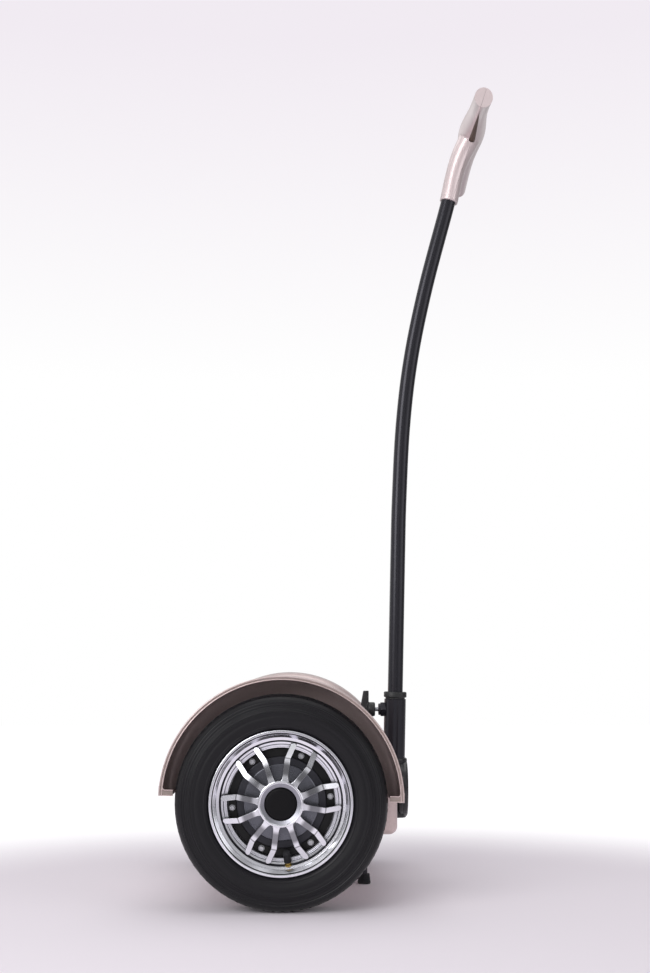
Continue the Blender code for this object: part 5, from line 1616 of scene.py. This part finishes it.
@dataclass
class Handle:
    """Clamshell handle round the stem's top: a swept bar that swells into its sleeve, split in two."""

    stem: Stem
    half_length: float = 250.0
    middle_at: Point = (357.0, 1249.0)
    end_at: Point = (352.7, 1220.0)
    end_half: Point = (16.2, 18.4)
    middle_half: float = 25.0
    swell: float = 0.37
    sleeve_path: Sequence[Point] = ((310.5, 1109), (322.5, 1163), (335, 1200.5), (349, 1229), (357, 1249))
    sleeve_depths: Sequence[float] = (17.5, 17.5, 19.0, 20.5, 21.0)
    sleeve_widths: Sequence[float] = (21.0, 21.5, 25.0, 31.0, 34.0)
    split_lean: float = math.radians(18.4)
    split_gap: float = 0.3
    voxel: float = 1.5

    def centre(self, share: float) -> Point:
        """Place of the bar's middle line, forward of and above the axle, at a share of its half length."""
        bow = 1 - share ** 2
        return (self.end_at[0] + (self.middle_at[0] - self.end_at[0]) * bow,
                self.end_at[1] + (self.middle_at[1] - self.end_at[1]) * bow)

    def half_size(self, end: float, share: float) -> float:
        """Half the bar's depth or height at a share of its half length, from the one at its end."""
        return end + (self.middle_half - end) * math.exp(-(share / self.swell) ** 2)

    def bar(self) -> Shape:
        """The bar, a little longer than it ends up."""
        stations = []
        for index in range(-30, 31):
            share = index / 30 * 1.03
            x, z = self.centre(share)
            sizes = [self.half_size(end, share) for end in self.end_half]
            stations.append(station(spot(x, share * self.half_length, z), -X_AXIS, Z_AXIS, *sizes))
        return sweep(oval(48), stations)

    def sleeve(self) -> Shape:
        """The sleeve that comes down round the stem."""
        knees = [(x, z, depth, width) for (x, z), depth, width
                 in zip(self.sleeve_path, self.sleeve_depths, self.sleeve_widths)]
        found = smooth_points(knees, 8)
        path = [spot(x, 0, z) for x, z, _, _ in found]
        stations = []
        for at, way, (_, _, depth, width) in zip(path, directions(path), found):
            stations.append(station(at, Vector((way.z, 0, -way.x)), Y_AXIS, depth, width))
        return sweep(self.stem.section((1.0, 1.0), 2.2), stations)

    def seam(self, end: int, sunk: float) -> Shape:
        """Tapered bar along the underside's split: it cuts the seam's groove, and fills its bottom with
        painted shade.

        Args:
            end: -1 or 1, the side of the bar.
            sunk: how far it lies below the groove, in millimetres.

        Returns:
            The tapered bar.
        """
        points = []
        widths = []
        for share in (0.96, 0.8, 0.62, 0.45, 0.32, 0.22, 0.15, 0.105, 0.09):
            z = self.centre(share)[1] - self.half_size(self.end_half[1], share) + sunk
            x = self.end_at[0] + (z - self.end_at[1]) * math.tan(self.split_lean)
            points.append(spot(x, end * share * self.half_length, z))
            widths.append(max(7.0 * (1 - share) ** 1.4, 0.5) * (0.55 if share < 0.1 else 1.0))
        stations = [station(at, X_AXIS, way.cross(X_AXIS).normalized(), width, width)
                    for at, way, width in zip(points, directions(points), widths)]
        return sweep(oval(16, 1.0, 0.8), stations)

    def cap_groove(self, end: int) -> Shape:
        """Ring that cuts a fine groove round one end of the bar, behind its flat cap."""
        wide, tall = self.end_half
        x, z = self.end_at
        rings = []
        for grow, spare in ((4.0, 0.0), (-0.9, 1.0)):
            rings.append(sweep(oval(64, wide + grow, tall + grow), [
                station(spot(x, end * (self.half_length - at), z), X_AXIS, Z_AXIS)
                for at in (1.6 - spare, 2.8 + spare)]))
        return combine("DIFFERENCE", *rings)

    def build(self) -> None:
        """Blend bar and sleeve, then cut the ends, the seam, the stem's bore and the split."""
        solid = melt(combine("UNION", self.bar(), self.sleeve()), self.voxel, 8)
        for end in (-1, 1):
            bmesh.ops.bisect_plane(solid, geom=[*solid.verts, *solid.edges, *solid.faces],
                                   plane_co=(0, end * mm(self.half_length), 0), plane_no=(0, end, 0),
                                   clear_outer=True)
        fill_holes(solid)
        solid = combine("DIFFERENCE", solid, self.seam(-1, 0.0), self.seam(1, 0.0), self.cap_groove(-1),
                        self.cap_groove(1))
        stations = path_stations(self.stem.path(self.stem.inner_low)[-30:])
        stations[-1] = stations[-1] @ lifted(0.6)
        bore = sweep(self.stem.section(grown(self.stem.inner_half, 0.3)), stations)
        solid = combine("DIFFERENCE", solid, bore)
        hinge = spot(self.end_at[0], 0, self.end_at[1])
        plane = Matrix.Translation(hinge) @ Matrix.Rotation(self.split_lean, 4, "Y")
        far = 0.6
        for name, sign in (("rear", 1), ("front", -1)):
            near_x, far_x = sorted((-sign * mm(self.split_gap / 2), sign * far))
            other = put(block((near_x, -far, -far), (far_x, far, far)), plane)
            half = combine("DIFFERENCE", solid.copy(), other)
            if name == "rear":
                # The groove's bottom is a dark brown copy of the bar: painted shade
                merge(half, coat(merge(self.seam(-1, 1.6), self.seam(1, 1.6)), 1))
            # The shells take the lacquer with light painted into its colour, and the seam takes painted shade
            settle(half, f"handle_{name}_moulding", Body.SLIDER, [CHAMPAGNE_PAINTED_LIGHT, PAINTED_SEAM_SHADE],
                   [f"handle_{name}_shell"], sharp=40)
        solid.free()


@dataclass
class Studio:
    """Floor, world, lamps and camera."""

    focal_pixels: float = 1430.0
    image_height: float = 973.0
    camera_x: float = 71.6
    camera_y: float = -2682.1
    camera_height: float = 412.0
    pitch: float = math.radians(6.78)
    floor_middle: tuple[float, float, float] = (0.0, -0.4, 0.0)
    floor_near: float = 0.76
    floor_far: float = 1.5
    floor_colour: str = "#ebe5eb"
    floor_far_colour: str = "#9a979c"
    floor_glow: float = 0.85
    floor_gloss: float = 0.28
    backdrop_rise: Point = (0.19, 0.41)
    backdrop_top: str = "#f1ebf2"
    room_light: str = "#f4f1f6"
    room_strength: float = 0.5
    mirrored_middle: float = 0.36
    mirrored_front: float = 0.35
    lamps: Sequence[tuple[str, tuple[float, float, float], float, float, bool]] = (
        ("key", (-1.6, -2.4, 1.6), 1.9, 40, True),
        ("fill", (2.4, -1.8, 1.3), 1.8, 12, True),
        ("crown", (0.0, 0.4, 3.0), 2.6, 28, True),
        ("front", (0.1, -3.0, 0.3), 1.0, 12, False),
    )

    def build(self) -> None:
        """Set up everything round the scooter."""
        self.floor()
        self.world()
        for name, place, size, power, glossy in self.lamps:
            self.lamp(name, place, size, power, glossy)
        self.camera()
        bpy.context.scene.view_settings.view_transform = "Standard"

    def floor(self) -> None:
        """Plain pale floor, which turns white behind the scooter as the photograph's does."""
        bm = bmesh.new()
        bmesh.ops.create_grid(bm, x_segments=2, y_segments=2, size=6.0)
        mesh = bpy.data.meshes.new("floor")
        bm.to_mesh(mesh)
        bm.free()
        made = bpy.data.materials.new("matt_pale_floor")
        made.use_nodes = True
        tree = made.node_tree
        shader = tree.nodes["Principled BSDF"]
        shader.inputs["Roughness"].default_value = 0.8
        shader.inputs["Specular IOR Level"].default_value = 0.2
        place = add_node(tree, "ShaderNodeTexCoord").outputs["Object"]
        reach = add_node(tree, "ShaderNodeVectorMath", {0: place, 1: self.floor_middle}, operation="DISTANCE")
        fade = add_node(tree, "ShaderNodeMapRange", {
            "Value": reach.outputs["Value"], 1: self.floor_near, 2: self.floor_far,
        }, interpolation_type="SMOOTHSTEP")
        tone = add_node(tree, "ShaderNodeMix", {
            0: fade.outputs["Result"], 6: linear(self.floor_colour), 7: linear(self.floor_far_colour),
        }, data_type="RGBA")
        tree.links.new(tone.outputs[2], shader.inputs["Base Color"])
        light = add_node(tree, "ShaderNodeLightPath")
        shown = add_node(tree, "ShaderNodeMath", {
            0: light.outputs["Is Camera Ray"], 1: fade.outputs["Result"],
        }, operation="MULTIPLY")
        glossed = add_node(tree, "ShaderNodeMath", {
            0: light.outputs["Is Glossy Ray"], 1: self.floor_gloss, 2: shown.outputs[0],
        }, operation="MULTIPLY_ADD")
        glow = add_node(tree, "ShaderNodeMath", {0: glossed.outputs[0], 1: self.floor_glow},
                        operation="MULTIPLY")
        tree.links.new(glow.outputs[0], shader.inputs["Emission Strength"])
        shader.inputs["Emission Color"].default_value = linear("#ffffff")
        mesh.materials.append(made)
        sheet = bpy.data.objects.new("studio_floor", mesh)
        bpy.context.scene.collection.objects.link(sheet)

    def world(self) -> None:
        """Even light, the white background that the camera sees, and a patchy sky that only gloss mirrors."""
        world = bpy.data.worlds.new("studio")
        bpy.context.scene.world = world
        world.use_nodes = True
        tree = world.node_tree
        tree.nodes.clear()
        way = add_node(tree, "ShaderNodeTexCoord").outputs["Generated"]
        split = add_node(tree, "ShaderNodeSeparateXYZ", {0: way})
        rise = add_node(tree, "ShaderNodeMapRange", {
            "Value": split.outputs["Z"], 1: self.backdrop_rise[0], 2: self.backdrop_rise[1],
        })
        backdrop = add_node(tree, "ShaderNodeMix", {
            0: rise.outputs["Result"], 6: linear("#ffffff"), 7: linear(self.backdrop_top),
        }, data_type="RGBA")
        patches = add_node(tree, "ShaderNodeTexNoise", {"Vector": way, "Scale": 2.6, "Detail": 1.0})
        behind = add_node(tree, "ShaderNodeMapRange", {
            "Value": patches.outputs["Fac"], 1: 0.38, 2: 0.6, 3: 0.34, 4: 1.0,
        })
        # A dim ring round the camera's place gives faces turned to the camera their grey
        forward = add_node(tree, "ShaderNodeMath", {0: split.outputs["Y"], 1: -1.0}, operation="MULTIPLY")
        inside = add_node(tree, "ShaderNodeMapRange", {"Value": forward.outputs[0], 1: 0.90, 2: 0.955})
        outside = add_node(tree, "ShaderNodeMapRange", {"Value": forward.outputs[0], 1: 0.995, 2: 0.975})
        ring = add_node(tree, "ShaderNodeMath", {0: inside.outputs[0], 1: outside.outputs[0]},
                        operation="MULTIPLY")
        sky = add_node(tree, "ShaderNodeMix", {
            0: ring.outputs[0], 2: behind.outputs["Result"], 3: self.mirrored_middle,
        }, data_type="FLOAT")
        # A flag ahead of the scooter darkens what its right-hand edges mirror
        flag = add_node(tree, "ShaderNodeMapRange", {
            "Value": split.outputs["X"], 1: 0.25, 2: 0.75, 3: 1.0, 4: self.mirrored_front,
        })
        shaded = add_node(tree, "ShaderNodeMath", {0: sky.outputs[0], 1: flag.outputs["Result"]},
                          operation="MULTIPLY")
        light = add_node(tree, "ShaderNodeLightPath")
        even = add_node(tree, "ShaderNodeBackground", {
            "Color": linear(self.room_light), "Strength": self.room_strength,
        })
        shown = add_node(tree, "ShaderNodeBackground", {"Color": backdrop.outputs[2], "Strength": 1.0})
        gloss = add_node(tree, "ShaderNodeBackground", {
            "Color": linear("#ffffff"), "Strength": shaded.outputs[0],
        })
        first = add_node(tree, "ShaderNodeMixShader", {
            0: light.outputs["Is Glossy Ray"], 1: even.outputs[0], 2: gloss.outputs[0]})
        second = add_node(tree, "ShaderNodeMixShader", {
            0: light.outputs["Is Camera Ray"], 1: first.outputs[0], 2: shown.outputs[0]})
        add_node(tree, "ShaderNodeOutputWorld", {"Surface": second.outputs[0]})

    def lamp(self, name: str, place: Sequence[float], size: float, power: float, glossy: bool) -> None:
        """Add a soft lamp that faces the scooter.

        Args:
            name: the lamp's name.
            place: where it stands, in metres.
            size: its side, in metres.
            power: in watts.
            glossy: whether polished surfaces mirror it.
        """
        data = bpy.data.lights.new(name, "AREA")
        data.shape = "SQUARE"
        data.size = size
        data.energy = power
        made = bpy.data.objects.new(name, data)
        bpy.context.scene.collection.objects.link(made)
        made.visible_glossy = glossy
        aim = Vector((0, 0, 0.5)) - Vector(place)
        made.matrix_world = Matrix.Translation(place) @ aim.to_track_quat("-Z", "Y").to_matrix().to_4x4()

    def camera(self) -> None:
        """Stand the camera where the photograph was taken from."""
        data = bpy.data.cameras.new("camera")
        data.lens = data.sensor_width * self.focal_pixels / self.image_height
        made = bpy.data.objects.new("camera", data)
        bpy.context.scene.collection.objects.link(made)
        made.location = (AXLE[0] + mm(self.camera_x), mm(self.camera_y), mm(self.camera_height))
        made.rotation_euler = (math.pi / 2 + self.pitch, 0, 0)
        bpy.context.scene.camera = made


def main() -> None:
    """Build every sub-assembly in order and set up the studio."""
    logging.basicConfig(level=logging.INFO, format="%(message)s")
    for side in Side:
        Wheel(side).build()
        Fender(side).build()
    Platform().build()
    Stand().build()
    stem = Stem()
    stem.build()
    Clamp().build()
    Handle(stem).build()
    Studio().build()


if __name__ == "__main__":
    main()
